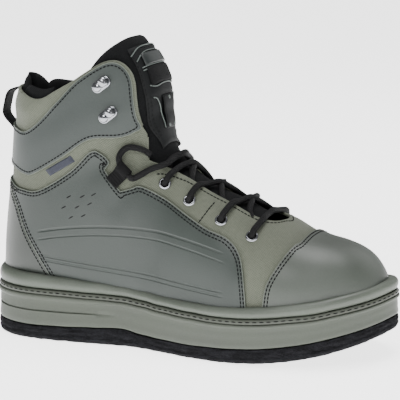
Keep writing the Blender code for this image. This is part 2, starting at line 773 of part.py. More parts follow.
def buildInside():
    tongue = softPatch("tongue", 17, 11, tonguePlace, tongueOuter, tongueInner)
    material(tongue, "padded black textile", (0.026, 0.028, 0.030), 0.85)

    def facingPlace(a, b):
        across = 2 * b - 1
        u = lerp(15.6, 24.6, a)
        width = math.radians(table([(15.0, 20.0), (18.0, 27.0), (22.0, 30.0), (25.0, 34.0)], u, 1))
        return u, across * width

    facing = softPatch("tongue_facing", 10, 7, facingPlace,
                       lambda u, angle: tongueOuter(u, angle) + GAP + 0.0014,
                       lambda u, angle: tongueOuter(u, angle) + GAP + 0.0001, edge=(0.6,))
    material(facing, "synthetic leather", (0.036, 0.037, 0.039), 0.5)

    def badgePlace(a, b):
        return lerp(22.6, 23.9, a), (2 * b - 1) * math.radians(19)

    badge = softPatch("tongue_badge", 4, 6, badgePlace,
                      lambda u, angle: tongueOuter(u, angle) + 2 * GAP + 0.0030,
                      lambda u, angle: tongueOuter(u, angle) + 2 * GAP + 0.0016, edge=(0.6,))
    material(badge, "plain rubber badge", (0.060, 0.072, 0.075), 0.4)

    def bandPlace(a, b):
        return lerp(20.6, 22.2, a), (2 * b - 1) * math.radians(19)

    band = softPatch("tongue_band", 4, 6, bandPlace,
                     lambda u, angle: tongueOuter(u, angle) + 2 * GAP + 0.0028,
                     lambda u, angle: tongueOuter(u, angle) + 2 * GAP + 0.0016, edge=(0.6,))
    material(band, "black webbing band", (0.018, 0.018, 0.020), 0.8)

    def keeperPlace(a, b):
        return lerp(16.2, 19.4, a), (2 * b - 1) * math.radians(7)

    keeper = softPatch("lace_keeper", 5, 4, keeperPlace,
                       lambda u, angle: tongueOuter(u, angle) + 2 * GAP + 0.0032,
                       lambda u, angle: tongueOuter(u, angle) + 2 * GAP + 0.0016, edge=(0.6,))
    material(keeper, "keeper strap", (0.034, 0.035, 0.037), 0.5)

    def paddingPlace(a, b):
        angle = math.radians(lerp(100.0, 260.0, b))
        top = collarRow(angle, 0.0022)
        return lerp(top - 2.6, top, a), angle

    padding = softPatch("collar_padding", 6, 13, paddingPlace,
                        lambda u, angle: -(WALL + GAP + 0.0002),
                        lambda u, angle: -(WALL + GAP + PADDING_THICKNESS))
    material(padding, "collar lining", (0.040, 0.042, 0.044), 0.85)


# Trim

def ribbon(name, centre, sideDirection, width, thickness):
    bm = bmesh.new()
    sections = []
    for k, point in enumerate(centre):
        before = centre[max(k - 1, 0)]
        after = centre[min(k + 1, len(centre) - 1)]
        forward = (after - before).normalized()
        side = (sideDirection - forward * sideDirection.dot(forward)).normalized()
        up = forward.cross(side)
        corners = []
        for a, b in ((-1, -1), (1, -1), (1, 1), (-1, 1)):
            corners.append(bm.verts.new(point + side * (a * width / 2) + up * (b * thickness / 2)))
        sections.append(corners)
    for a, b in zip(sections, sections[1:]):
        for j in range(4):
            n = (j + 1) % 4
            bm.faces.new((a[j], a[n], b[n], b[j]))
    bm.faces.new(sections[0])
    bm.faces.new(sections[-1])
    return newObject(name, bm)


def smoothPath(points, parts):
    ends = [points[0] * 2 - points[1]] + points + [points[-1] * 2 - points[-2]]
    path = []
    for k in range(1, len(ends) - 2):
        for m in range(parts):
            path.append(catmull(ends[k - 1], ends[k], ends[k + 1], ends[k + 2], m / parts))
    path.append(points[-1])
    return path


def cordTube(name, points, diameter):
    lengths = [0.0]
    fine = smoothPath(points, 10)
    for a, b in zip(fine, fine[1:]):
        lengths.append(lengths[-1] + (b - a).length)
    count = max(3, int(round(lengths[-1] / (diameter * 1.5))) + 1)
    even = []
    for n in range(count):
        target = lengths[-1] * n / (count - 1)
        k = 0
        while k < len(lengths) - 2 and lengths[k + 1] < target:
            k += 1
        t = (target - lengths[k]) / max(SMALL, lengths[k + 1] - lengths[k])
        even.append(fine[k].lerp(fine[k + 1], t))
    curve = bpy.data.curves.new(name + " path", "CURVE")
    curve.dimensions = "3D"
    curve.bevel_depth = diameter / 2
    curve.bevel_resolution = 2
    curve.use_fill_caps = True
    spline = curve.splines.new("POLY")
    spline.points.add(len(even) - 1)
    for point, place in zip(spline.points, even):
        point.co = (place.x, place.y, place.z, 1.0)
    holder = bpy.data.objects.new(name + " holder", curve)
    bpy.context.scene.collection.objects.link(holder)
    graph = bpy.context.evaluated_depsgraph_get()
    graph.update()
    mesh = bpy.data.meshes.new_from_object(holder.evaluated_get(graph))
    bpy.data.objects.remove(holder, do_unlink=True)
    item = bpy.data.objects.new(name, mesh)
    bpy.context.scene.collection.objects.link(item)
    bm = bmesh.new()
    bm.from_mesh(mesh)
    bmesh.ops.remove_doubles(bm, verts=bm.verts, dist=0.00002)
    bmesh.ops.recalc_face_normals(bm, faces=bm.faces)
    bm.to_mesh(mesh)
    bm.free()
    return item


def eyelet(name, u, angle):
    bm = bmesh.new()
    base = GAP
    profile = [
        (EYELET_HOLE, -WALL - 0.0002), (EYELET_HOLE + 0.0004, base + EYELET_HEIGHT),
        (EYELET_RADIUS - 0.0008, base + EYELET_HEIGHT), (EYELET_RADIUS, base),
        (EYELET_HOLE + 0.0006, base), (EYELET_HOLE + 0.0005, -WALL - 0.0002),
    ]
    sides = 10
    loops = []
    for j in range(sides):
        turn = 2 * math.pi * j / sides
        loops.append([bm.verts.new((r * math.cos(turn), r * math.sin(turn), h)) for r, h in profile])
    for j in range(sides):
        a = loops[j]
        b = loops[(j + 1) % sides]
        for i in range(len(profile)):
            n = (i + 1) % len(profile)
            bm.faces.new((a[i], b[i], b[n], a[n]))
    normal = lastNormal(u, angle)
    turn = Vector((0, 0, 1)).rotation_difference(normal)
    bmesh.ops.transform(bm, matrix=turn.to_matrix().to_4x4(), verts=bm.verts)
    bmesh.ops.translate(bm, verts=bm.verts, vec=skinPoint(u, angle, 0.0002))
    item = newObject(name, bm)
    material(item, name + " metal", (0.75, 0.75, 0.74), 0.25, 1.0)
    return item


def hook(name, u, angle):
    # A flat plate with a rivet dome at the back and a curled tab at the front
    normal = lastNormal(u, angle)
    along = Vector((math.cos(HOOK_TURN), 0, math.sin(HOOK_TURN)))
    along = (along - normal * along.dot(normal)).normalized()
    across = normal.cross(along)
    origin = skinPoint(u, angle, 2 * GAP + LAYER + 0.0003)
    half = HOOK_LENGTH / 2
    radius = HOOK_WIDTH / 2

    def place(a, b, c):
        return origin + along * a + across * b + normal * c

    bm = bmesh.new()
    rim = []
    for j in range(12):
        turn = 2 * math.pi * j / 12
        shift = half - radius if math.cos(turn) >= 0 else -(half - radius)
        rim.append((math.cos(turn) * radius + shift, math.sin(turn) * radius))
    low = [bm.verts.new(place(a, b, 0)) for a, b in rim]
    high = [bm.verts.new(place(a, b, 0.0009)) for a, b in rim]
    for j in range(12):
        n = (j + 1) % 12
        bm.faces.new((low[j], low[n], high[n], high[j]))
    bm.faces.new(low)
    bm.faces.new(high)
    plate = newObject(name, bm)
    dome = bmesh.new()
    bmesh.ops.create_icosphere(dome, subdivisions=1, radius=radius * 0.72)
    bmesh.ops.scale(dome, vec=(1, 1, 0.6), verts=dome.verts)
    turn = Vector((0, 0, 1)).rotation_difference(normal)
    bmesh.ops.transform(dome, matrix=turn.to_matrix().to_4x4(), verts=dome.verts)
    bmesh.ops.translate(dome, verts=dome.verts, vec=place(-(half - radius), 0, 0.0011))
    boolean(plate, newObject("dome cutter", dome), "UNION")
    curl = [place(half * 0.62, 0, 0.0005), place(half * 0.86, 0, 0.0022), place(half * 0.72, 0, 0.0046),
            place(half * 0.30, 0, 0.0052), place(-half * 0.02, 0, 0.0044)]
    tab = ribbon("tab cutter", curl, across, HOOK_WIDTH * 0.62, 0.0010)
    boolean(plate, tab, "UNION")
    tidy(plate)
    material(plate, name + " metal", (0.75, 0.75, 0.74), 0.18, 1.0)
    return plate


def laceCrossing(name, paths):
    tubes = [cordTube(name if k == 0 else name + " other", path, LACE_DIAMETER)
             for k, path in enumerate(paths)]
    first = tubes[0]
    for other in tubes[1:]:
        boolean(first, other, "UNION")
        tidy(first)
    material(first, name + " cord", (0.034, 0.032, 0.036), 0.8)
    return first


def sidePoint(x, z, side, offset):
    u, angle = onSide(x, z, side)
    return skinPoint(u, angle, offset)


def acrossPoint(u, y, offset):
    # A place on section u at a distance y from the middle, on the crown side
    row = rowAt(u)
    half = (row[5] - row[4]) / 2
    share = max(-0.98, min(0.98, (y - (row[4] + row[5]) / 2) / half))
    angle = math.copysign(math.asin(abs(share) ** (row[8] / 2)), share)
    return skinPoint(u, angle, offset)


def laceLoop(name, side, look):
    # A webbing band folded round the lace at the ankle
    radius = LACE_DIAMETER / 2
    u, angle = onSide(lengthOf(LOOP_PLACE[0]), heightOf(LOOP_PLACE[1]), side)
    normal = lastNormal(u, angle)
    forward = Vector((math.cos(LOOP_TURN), 0, math.sin(LOOP_TURN)))
    forward = (forward - normal * forward.dot(normal)).normalized()
    across = normal.cross(forward)
    origin = skinPoint(u, angle, 0.0)
    layer = BAND_THICKNESS
    centre = (0.0, 2 * GAP + layer + radius + LOOP_LIFT)
    reach = radius + 2 * GAP + layer / 2
    line = [(-0.0095, GAP + LOOP_LIFT + layer / 2), (-0.0045, GAP + LOOP_LIFT + layer / 2)]
    for k in range(-2, 4):
        turn = math.radians(45 * k)
        line.append((centre[0] + reach * math.cos(turn), centre[1] + reach * math.sin(turn)))
    line.append((-0.0050, GAP * 3 + LOOP_LIFT + layer * 1.5))
    line.append((-0.0095, GAP * 3 + LOOP_LIFT + layer * 1.5))
    points = [origin + forward * a + normal * b for a, b in line]
    band = ribbon(name, points, across, BAND_WIDTH, layer)
    material(band, look, (0.020, 0.020, 0.022), 0.8)
    return origin + normal * centre[1], across


def buildTrim():
    radius = LACE_DIAMETER / 2
    rested = GAP + radius
    for number, (x, z) in enumerate(EYELETS, start=1):
        for side, word in ((-1, "outer"), (1, "inner")):
            u, angle = onSide(lengthOf(x), heightOf(z), side)
            eyelet("eyelet_%s_%d" % (word, number), u, angle)
    for number, (x, z) in enumerate(HOOKS, start=1):
        for side, word in ((-1, "outer"), (1, "inner")):
            u, angle = onSide(lengthOf(x), heightOf(z), side)
            hook("lace_hook_%s_%d" % (word, number), u, angle)

    places = [{side: onSide(lengthOf(x), heightOf(z), side) for side in (-1, 1)} for x, z in EYELETS]
    edge = THROAT_EDGE * UPPER_WIDTH
    onTongue = rested - WALL + 0.0006

    def leaving(number, side, shift):
        # Starts between the eyelet and the throat edge and lies on the edge
        u, angle = places[number][side]
        start = min(abs(lastPoint(u, angle).y) - EYELET_RADIUS, edge) - GAP
        return [acrossPoint(u + shift * 0.8, side * start, rested + 0.0003),
                acrossPoint(u + shift, side * (start - LACE_DIAMETER), rested + 0.0003)]

    bar = leaving(0, -1, -0.18) + [acrossPoint(places[0][1][0] - 0.18, 0.0, onTongue + 0.0010)]
    bar += leaving(0, 1, -0.18)[::-1]
    laceCrossing("lace_bar", [bar])
    for number in range(3):
        paths = []
        for side in (-1, 1):
            path = leaving(number + 1, side, -0.18)
            first = places[number + 1][side][0] - 0.18
            middle = (places[number + 1][side][0] + places[number][side][0]) / 2 + 0.18
            last = places[number][side][0] + 0.42
            for share, across in ((0.45, 0.45), (1.0, 0.0)):
                u = lerp(first, middle, share)
                path.append(acrossPoint(u, side * edge * across, onTongue + 0.0004))
            for share, across in ((0.5, 0.38), (1.0, 0.74)):
                u = lerp(middle, last, share)
                path.append(acrossPoint(u, -side * edge * across, onTongue + 0.0002))
            paths.append(path)
        laceCrossing("lace_crossing_%d" % (number + 1), paths)

    paths = []
    for side in (-1, 1):
        u = places[3][side][0]
        path = [sidePoint(lengthOf(0.409), heightOf(0.527), side, rested + 0.0012),
                sidePoint(lengthOf(0.433), heightOf(0.545), side, rested + 0.0008),
                acrossPoint(u + 0.95, side * edge, rested + 0.0024),
                acrossPoint(u + 0.72, 0.0, onTongue + 0.0008),
                acrossPoint(u + 0.40, -side * edge * 0.74, onTongue)]
        paths.append(path)
    laceCrossing("lace_crossing_4", paths)

    for side, word in ((-1, "outer"), (1, "inner")):
        middle, across = laceLoop("lace_loop_" + word, side, "lace loop webbing " + word)
        if across.z < 0:
            across = -across
        path = [middle + across * step for step in (-0.0078, -0.0040, 0.0, 0.0045, 0.0084)]
        path += [sidePoint(lengthOf(a), heightOf(b), side, rested + 0.0006)
                 for a, b in ((0.368, 0.598), (0.385, 0.610), (0.407, 0.612))]
        end = cordTube("lace_end_" + word, path, LACE_DIAMETER)
        material(end, "lace end cord " + word, (0.034, 0.032, 0.036), 0.8)

    loop = ribbon("pull_loop", [Vector((a, 0, b)) for a, b in sidePolygon(PULL_LOOP)], Vector((0, 1, 0)),
                  STRAP_WIDTH, STRAP_THICKNESS)
    material(loop, "pull loop webbing", (0.030, 0.030, 0.033), 0.8)


clearScene()
buildSole()
buildUpper()
buildOverlays()
buildInside()
buildTrim()
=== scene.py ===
import math
import bpy
import bmesh
import numpy as np
from mathutils import Matrix, Vector
from mathutils.bvhtree import BVHTree


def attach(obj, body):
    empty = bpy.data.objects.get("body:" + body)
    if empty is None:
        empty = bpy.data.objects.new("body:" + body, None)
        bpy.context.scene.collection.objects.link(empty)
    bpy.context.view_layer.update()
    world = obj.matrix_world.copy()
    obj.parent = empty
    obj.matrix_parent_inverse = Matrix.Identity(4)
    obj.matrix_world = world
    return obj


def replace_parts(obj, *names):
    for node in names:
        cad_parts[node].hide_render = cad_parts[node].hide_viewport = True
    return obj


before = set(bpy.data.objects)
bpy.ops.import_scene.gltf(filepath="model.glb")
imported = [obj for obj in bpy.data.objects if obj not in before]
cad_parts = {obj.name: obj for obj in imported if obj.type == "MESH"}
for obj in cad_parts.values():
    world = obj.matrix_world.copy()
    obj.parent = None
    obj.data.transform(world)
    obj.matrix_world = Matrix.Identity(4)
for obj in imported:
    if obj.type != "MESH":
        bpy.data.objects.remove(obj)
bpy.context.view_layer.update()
print("frame loaded:", len(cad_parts), "nodes")


def placed(name, data):
    item = bpy.data.objects.new(name, data)
    bpy.context.scene.collection.objects.link(item)
    return item


# The photograph's angle on the outer side of a right boot
camera = {"azimuth": 22.5, "elevation": 10.5, "distance": 1.45, "lens": 178.2,
          "target": (0.11, 0.0, 0.10), "moveRight": 0.0076, "moveUp": 0.0044}
turn = math.radians(camera["azimuth"])
tilt = math.radians(camera["elevation"])
viewBack = Vector((math.sin(turn) * math.cos(tilt), -math.cos(turn) * math.cos(tilt), math.sin(tilt)))
viewRight = Vector((math.cos(turn), math.sin(turn), 0.0))
viewUp = viewBack.cross(viewRight)
cameraPlace = Vector(camera["target"]) + viewBack * camera["distance"]
eye = bpy.data.cameras.new("photo camera")
eye.lens = camera["lens"]
eye.sensor_width = 36.0
eye.clip_end = 50.0
eyeObject = placed("photo camera", eye)
aim = viewRight * camera["moveRight"] + viewUp * camera["moveUp"]
eyeObject.matrix_world = Matrix.Translation(cameraPlace + aim) @ Matrix(
    (viewRight, viewUp, viewBack)).transposed().to_4x4()
bpy.context.scene.camera = eyeObject


# Sizes of the boot, as in the part
boot = {"soleLength": 0.3095, "ballWidth": 0.1155, "upperHeight": 0.176, "toeSpring": 0.022,
        "springStart": 0.60, "felt": 0.0105, "midsole": 0.0234, "strip": 0.0036, "rand": 0.016,
        "gap": 0.0003, "wall": 0.0022, "layer": 0.0013, "lace": 0.0045}
soleBack = boot["soleLength"] * 0.1357
upperLength = boot["soleLength"] * 0.9515
upperBack = boot["soleLength"] * 0.1195
upperWidth = boot["ballWidth"] * 0.8745
seatHeight = boot["felt"] + boot["midsole"]
gap = boot["gap"]
layer = boot["layer"]
wall = boot["wall"]

# Sections of the last, toe to top, as shares of length, height and width: foot x, foot z (-9 stands
# on the midsole), crown x, crown z, outer and inner edge, height share of the widest place, lower
# and upper power
sections = np.array([
    (1.003, -9, 1.001, 0.111, -0.020, 0.119, 0.50, 2.0, 2.0),
    (0.998, -9, 0.993, 0.145, -0.099, 0.188, 0.42, 2.6, 2.2),
    (0.988, -9, 0.978, 0.182, -0.168, 0.257, 0.36, 3.4, 2.3),
    (0.971, -9, 0.954, 0.222, -0.238, 0.327, 0.33, 4.0, 2.3),
    (0.944, -9, 0.924, 0.250, -0.307, 0.386, 0.30, 5.0, 2.3),
    (0.908, -9, 0.886, 0.270, -0.371, 0.431, 0.28, 5.0, 2.3),
    (0.866, -9, 0.849, 0.284, -0.426, 0.465, 0.26, 5.0, 2.25),
    (0.822, -9, 0.815, 0.307, -0.470, 0.485, 0.25, 5.0, 2.15),
    (0.771, -9, 0.767, 0.350, -0.495, 0.490, 0.24, 5.0, 2.15),
    (0.710, -9, 0.706, 0.391, -0.500, 0.470, 0.23, 5.0, 2.25),
    (0.642, -9, 0.642, 0.443, -0.490, 0.436, 0.23, 5.0, 2.35),
    (0.574, -9, 0.587, 0.485, -0.460, 0.391, 0.24, 5.0, 2.4),
    (0.503, -9, 0.540, 0.531, -0.421, 0.356, 0.25, 5.0, 2.45),
    (0.428, -9, 0.506, 0.572, -0.376, 0.337, 0.27, 5.0, 2.45),
    (0.343, -9, 0.482, 0.615, -0.371, 0.342, 0.30, 5.0, 2.45),
    (0.248, -9, 0.467, 0.659, -0.381, 0.361, 0.32, 5.0, 2.5),
    (0.153, -9, 0.457, 0.699, -0.386, 0.371, 0.34, 4.2, 2.55),
    (0.058, -9, 0.450, 0.736, -0.386, 0.371, 0.36, 3.0, 2.6),
    (0.008, 0.011, 0.445, 0.778, -0.381, 0.371, 0.38, 2.3, 2.75),
    (0.002, 0.131, 0.441, 0.824, -0.376, 0.371, 0.40, 2.1, 2.9),
    (0.007, 0.256, 0.437, 0.869, -0.371, 0.366, 0.42, 2.1, 3.0),
    (0.015, 0.375, 0.431, 0.915, -0.366, 0.361, 0.43, 2.1, 3.0),
    (0.022, 0.494, 0.423, 0.960, -0.361, 0.356, 0.44, 2.1, 3.0),
    (0.028, 0.614, 0.411, 1.006, -0.356, 0.351, 0.45, 2.1, 3.0),
    (0.033, 0.733, 0.397, 1.048, -0.347, 0.342, 0.45, 2.1, 3.0),
    (0.041, 0.852, 0.385, 1.091, -0.337, 0.337, 0.45, 2.1, 3.0),
    (0.048, 0.966, 0.374, 1.136, -0.332, 0.332, 0.45, 2.1, 3.0),
])
lastRow = len(sections) - 1

# Shares of the sole length: station, outer edge, inner edge (of the ball width)
outline = np.array([
    (0.000, 0.000, 0.000), (0.005, -0.104, 0.095), (0.019, -0.208, 0.195), (0.045, -0.294, 0.277),
    (0.084, -0.359, 0.338), (0.136, -0.394, 0.368), (0.207, -0.398, 0.372), (0.284, -0.385, 0.346),
    (0.349, -0.364, 0.316), (0.407, -0.364, 0.312), (0.472, -0.403, 0.342), (0.543, -0.455, 0.390),
    (0.620, -0.489, 0.437), (0.691, -0.502, 0.472), (0.756, -0.494, 0.494), (0.814, -0.463, 0.498),
    (0.866, -0.411, 0.476), (0.911, -0.342, 0.429), (0.950, -0.242, 0.346), (0.976, -0.139, 0.260),
    (0.992, -0.035, 0.173), (1.000, 0.069, 0.069),
])
# Station, felt, midsole and rand as shares of their thickness
sideHeights = np.array([
    (0.000, 1.00, 1.00, 1.00), (0.136, 0.97, 1.01, 0.91), (0.216, 1.03, 0.98, 0.85),
    (0.297, 1.14, 0.91, 0.78), (0.368, 1.22, 0.85, 0.73), (0.426, 0.97, 0.90, 0.70),
    (0.475, 0.90, 0.87, 0.69), (0.556, 0.88, 0.84, 0.69), (0.620, 0.95, 0.78, 0.70),
    (0.701, 1.00, 0.75, 0.74), (0.782, 1.03, 0.73, 0.78), (0.879, 1.01, 0.67, 0.81),
    (1.000, 0.90, 0.60, 0.84),
])
# Side-view lines: share of the upper's length, share of its height
panelLines = {
    "collar": [
        (-0.100, 0.847), (0.031, 0.847), (0.051, 0.844), (0.078, 0.830), (0.119, 0.812),
        (0.153, 0.818), (0.194, 0.855), (0.238, 0.896), (0.268, 0.929), (0.306, 0.968),
        (0.334, 0.985), (0.358, 0.980), (0.379, 0.950), (0.391, 0.905), (0.396, 0.840),
        (0.403, 0.765), (0.415, 0.708), (0.440, 0.676), (0.560, 0.640)],
    "ankle": [
        (-0.100, 0.693), (0.031, 0.693), (0.058, 0.682), (0.098, 0.676), (0.143, 0.722),
        (0.197, 0.812), (0.240, 0.887), (0.268, 0.923), (0.306, 0.964), (0.334, 0.9825),
        (0.357, 0.977), (0.3775, 0.947), (0.3885, 0.903), (0.3935, 0.838), (0.4005, 0.763),
        (0.411, 0.717), (0.397, 0.700), (0.380, 0.685), (0.355, 0.675), (0.320, 0.673), (0.290, 0.666),
        (0.262, 0.643), (0.204, 0.575), (0.126, 0.502), (0.095, 0.498), (0.065, 0.511), (0.031, 0.528),
        (-0.100, 0.528)],
    "quarter": [
        (0.034, 0.455), (0.065, 0.438), (0.095, 0.432), (0.146, 0.438), (0.231, 0.523),
        (0.282, 0.605), (0.298, 0.6175), (0.304, 0.6175), (0.323, 0.599), (0.335, 0.577), (0.336, 0.568),
        (0.327, 0.545), (0.328, 0.536), (0.364, 0.464), (0.371, 0.459), (0.397, 0.472), (0.421, 0.480),
        (0.486, 0.433), (0.595, 0.342), (0.658, 0.305), (0.694, 0.244), (0.711, 0.148), (0.719, 0.006),
        (0.722, -0.193), (0.194, -0.193), (0.177, 0.068), (0.139, 0.170), (0.102, 0.261), (0.071, 0.358),
        (0.041, 0.420)],
    "heel": [
        (-0.100, 0.466), (0.024, 0.460), (0.034, 0.455), (0.041, 0.420), (0.071, 0.358),
        (0.102, 0.261), (0.139, 0.170), (0.177, 0.068), (0.194, -0.193), (-0.100, -0.193)],
    "toe": [
        (0.832, 0.432), (0.822, 0.301), (0.812, 0.284), (0.800, 0.250), (0.784, 0.199),
        (0.766, 0.131), (0.759, 0.051), (0.757, -0.193), (1.110, -0.193), (1.110, 0.432)],
}
throatHalf = [
    (0.762, 0.000), (0.759, 0.070), (0.750, 0.125), (0.735, 0.165), (0.712, 0.192), (0.680, 0.206),
    (0.600, 0.208), (0.540, 0.205), (0.499, 0.206), (0.469, 0.228), (0.445, 0.255), (0.430, 0.268),
    (0.425, 0.264), (0.4225, 0.252), (0.4215, 0.237), (0.417, 0.215)]
eyeletPlaces = [(0.711, 0.312), (0.632, 0.369), (0.544, 0.436), (0.474, 0.494)]
hookPlaces = [(0.317, 0.893), (0.335, 0.770)]
# Soft troughs (-) and ridges (+) in the side view: from, to (shares), width and depth in metres
softForms = [
    ((0.02, 0.790), (0.10, 0.765), 0.0085, 0.0016),
    ((0.10, 0.765), (0.17, 0.800), 0.0070, 0.0009),
    ((0.36, 0.620), (0.20, 0.470), 0.0120, -0.0008),
    ((0.42, 0.560), (0.36, 0.400), 0.0110, -0.0007),
    ((0.50, 0.340), (0.46, 0.180), 0.0130, -0.0006),
    ((0.70, 0.300), (0.66, 0.120), 0.0090, -0.0006),
    ((0.76, 0.330), (0.72, 0.140), 0.0080, 0.0005),
    ((0.10, 0.600), (0.30, 0.760), 0.0140, 0.0006),
]


def lengthOf(share):
    return share * upperLength - upperBack


def heightOf(share):
    return seatHeight + share * boot["upperHeight"]


def blendTable(rows, x, column):
    x = np.asarray(x, float)
    k = np.clip(np.searchsorted(rows[:, 0], x) - 1, 0, len(rows) - 2)
    t = np.clip((x - rows[k, 0]) / (rows[k + 1, 0] - rows[k, 0]), 0.0, 1.0)
    t = t * t * (3 - 2 * t)
    return rows[k, column] + (rows[k + 1, column] - rows[k, column]) * t


def groundLine(x):
    station = (np.asarray(x) + soleBack) / boot["soleLength"]
    s = np.maximum(0.0, (station - boot["springStart"]) / (1.0 - boot["springStart"]))
    return boot["toeSpring"] * s ** 2.2


def feltTop(x):
    return groundLine(x) + boot["felt"] * blendTable(sideHeights, (x + soleBack) / boot["soleLength"], 1)


def midsoleTop(x):
    station = (np.asarray(x) + soleBack) / boot["soleLength"]
    return feltTop(x) + gap + boot["midsole"] * blendTable(sideHeights, station, 2)


def stripTop(x):
    return midsoleTop(x) + gap + boot["strip"]


def randTop(x):
    station = (np.asarray(x) + soleBack) / boot["soleLength"]
    return midsoleTop(x) + boot["rand"] * blendTable(sideHeights, station, 3)


rows = sections.copy()
rows[:, 0] = lengthOf(sections[:, 0])
rows[:, 2] = lengthOf(sections[:, 2])
rows[:, 3] = heightOf(sections[:, 3])
rows[:, 1] = np.where(sections[:, 1] < -1, midsoleTop(rows[:, 0]) - gap, heightOf(sections[:, 1]))
rows[:, 4] *= upperWidth
rows[:, 5] *= upperWidth


def catmull(p0, p1, p2, p3, t):
    return 0.5 * (2 * p1 + (p2 - p0) * t + (2 * p0 - 5 * p1 + 4 * p2 - p3) * t * t
                  + (3 * p1 - p0 - 3 * p2 + p3) * t * t * t)


def rowsAt(u):
    u = np.clip(u, 0.0, lastRow - 1e-9)
    k = u.astype(int)
    t = (u - k)[..., None]
    return catmull(rows[np.maximum(k - 1, 0)], rows[k], rows[k + 1], rows[np.minimum(k + 2, lastRow)], t)


def lastPoints(u, angle):
    u, angle = np.broadcast_arrays(np.asarray(u, float), np.asarray(angle, float))
    r = rowsAt(u)
    c = np.cos(angle)
    s = np.sin(angle)
    power = np.where(c >= 0, r[..., 8], r[..., 7])
    span = np.where(c >= 0, 1 - r[..., 6], r[..., 6])
    up = r[..., 6] + np.sign(c) * span * np.abs(c) ** (2 / power)
    side = np.sign(s) * np.abs(s) ** (2 / power)
    y = (r[..., 4] + r[..., 5]) / 2 + side * (r[..., 5] - r[..., 4]) / 2
    x = r[..., 0] + (r[..., 2] - r[..., 0]) * up
    z = r[..., 1] + (r[..., 3] - r[..., 1]) * up
    return np.stack([x, y, z], -1)


def lastNormals(u, angle):
    u, angle = np.broadcast_arrays(np.asarray(u, float), np.asarray(angle, float))
    alongU = lastPoints(np.minimum(u + 0.04, lastRow), angle) - lastPoints(np.maximum(u - 0.04, 0), angle)
    alongA = lastPoints(u, angle + 0.03) - lastPoints(u, angle - 0.03)
    normal = np.cross(alongU, alongA)
    normal /= np.maximum(1e-12, np.linalg.norm(normal, axis=-1, keepdims=True))
    r = rowsAt(u)
    centre = np.stack([r[..., 0] + r[..., 2], r[..., 4] + r[..., 5], r[..., 1] + r[..., 3]], -1) / 2
    outward = np.sum(normal * (lastPoints(u, angle) - centre), -1, keepdims=True)
    return np.where(outward < 0, -normal, normal)


def relief(points):
    height = np.zeros(points.shape[:-1])
    for (x1, z1), (x2, z2), width, depth in softForms:
        a = np.array((lengthOf(x1), heightOf(z1)))
        b = np.array((lengthOf(x2), heightOf(z2)))
        flat = points[..., (0, 2)]
        t = np.clip(((flat - a) @ (b - a)) / ((b - a) @ (b - a)), 0, 1)
        away = np.linalg.norm(flat - (a + t[..., None] * (b - a)), axis=-1)
        height += depth * np.exp(-(away / width) ** 2 * 1.5)
    return height


def skinPoints(u, angle, offset, soft=1.0):
    points = lastPoints(u, angle)
    return points + lastNormals(u, angle) * (offset + soft * relief(points))[..., None]


def oneSkin(u, angle, offset, soft=1.0):
    return Vector(skinPoints(np.array([u]), np.array([angle]), np.array([offset]), soft)[0])


def angleAt(u, y):
    # The angle round the last at which section u has this y
    r = rowsAt(np.array([float(u)]))[0]
    share = max(-0.98, min(0.98, (y - (r[4] + r[5]) / 2) / ((r[5] - r[4]) / 2)))
    return math.copysign(math.asin(abs(share) ** (r[8] / 2)), share)


def acrossPoint(u, y, offset):
    return oneSkin(u, angleAt(u, y), offset)


# Mesh helpers

def smoothFaces(bm, smoothAngle):
    for face in bm.faces:
        face.smooth = True
    for edge in bm.edges:
        if len(edge.link_faces) == 2:
            edge.smooth = edge.calc_face_angle(0.0) < math.radians(smoothAngle)


def finishMesh(name, bm, smoothAngle=38.0):
    smoothFaces(bm, smoothAngle)
    mesh = bpy.data.meshes.new(name)
    bm.to_mesh(mesh)
    bm.free()
    return placed(name, mesh)


def moveTo(verts, points):
    for vert, point in zip(verts, points):
        vert.co = point


def pathLengths(points):
    lengths = [0.0]
    for a, b in zip(points, points[1:]):
        lengths.append(lengths[-1] + (b - a).length)
    return lengths


def gridPiece(columns, rowCount, place, wrap=False, caps=False):
    bm = bmesh.new()
    bm.loops.layers.uv.new("UVMap")
    bmesh.ops.create_grid(bm, x_segments=columns, y_segments=rowCount, size=0.5, calc_uvs=True)
    flat = np.array([tuple(v.co) for v in bm.verts])
    low = flat.min(0)
    high = flat.max(0)
    s = (flat[:, 0] - low[0]) / (high[0] - low[0])
    t = (flat[:, 1] - low[1]) / (high[1] - low[1])
    moveTo(bm.verts, place(s, t))
    if wrap:
        bmesh.ops.remove_doubles(bm, verts=bm.verts, dist=1e-6)
    if caps:
        bmesh.ops.holes_fill(bm, edges=[e for e in bm.edges if e.is_boundary], sides=0)
        bmesh.ops.triangulate(bm, faces=[f for f in bm.faces if len(f.verts) > 4])
    bmesh.ops.recalc_face_normals(bm, faces=bm.faces)
    return bm


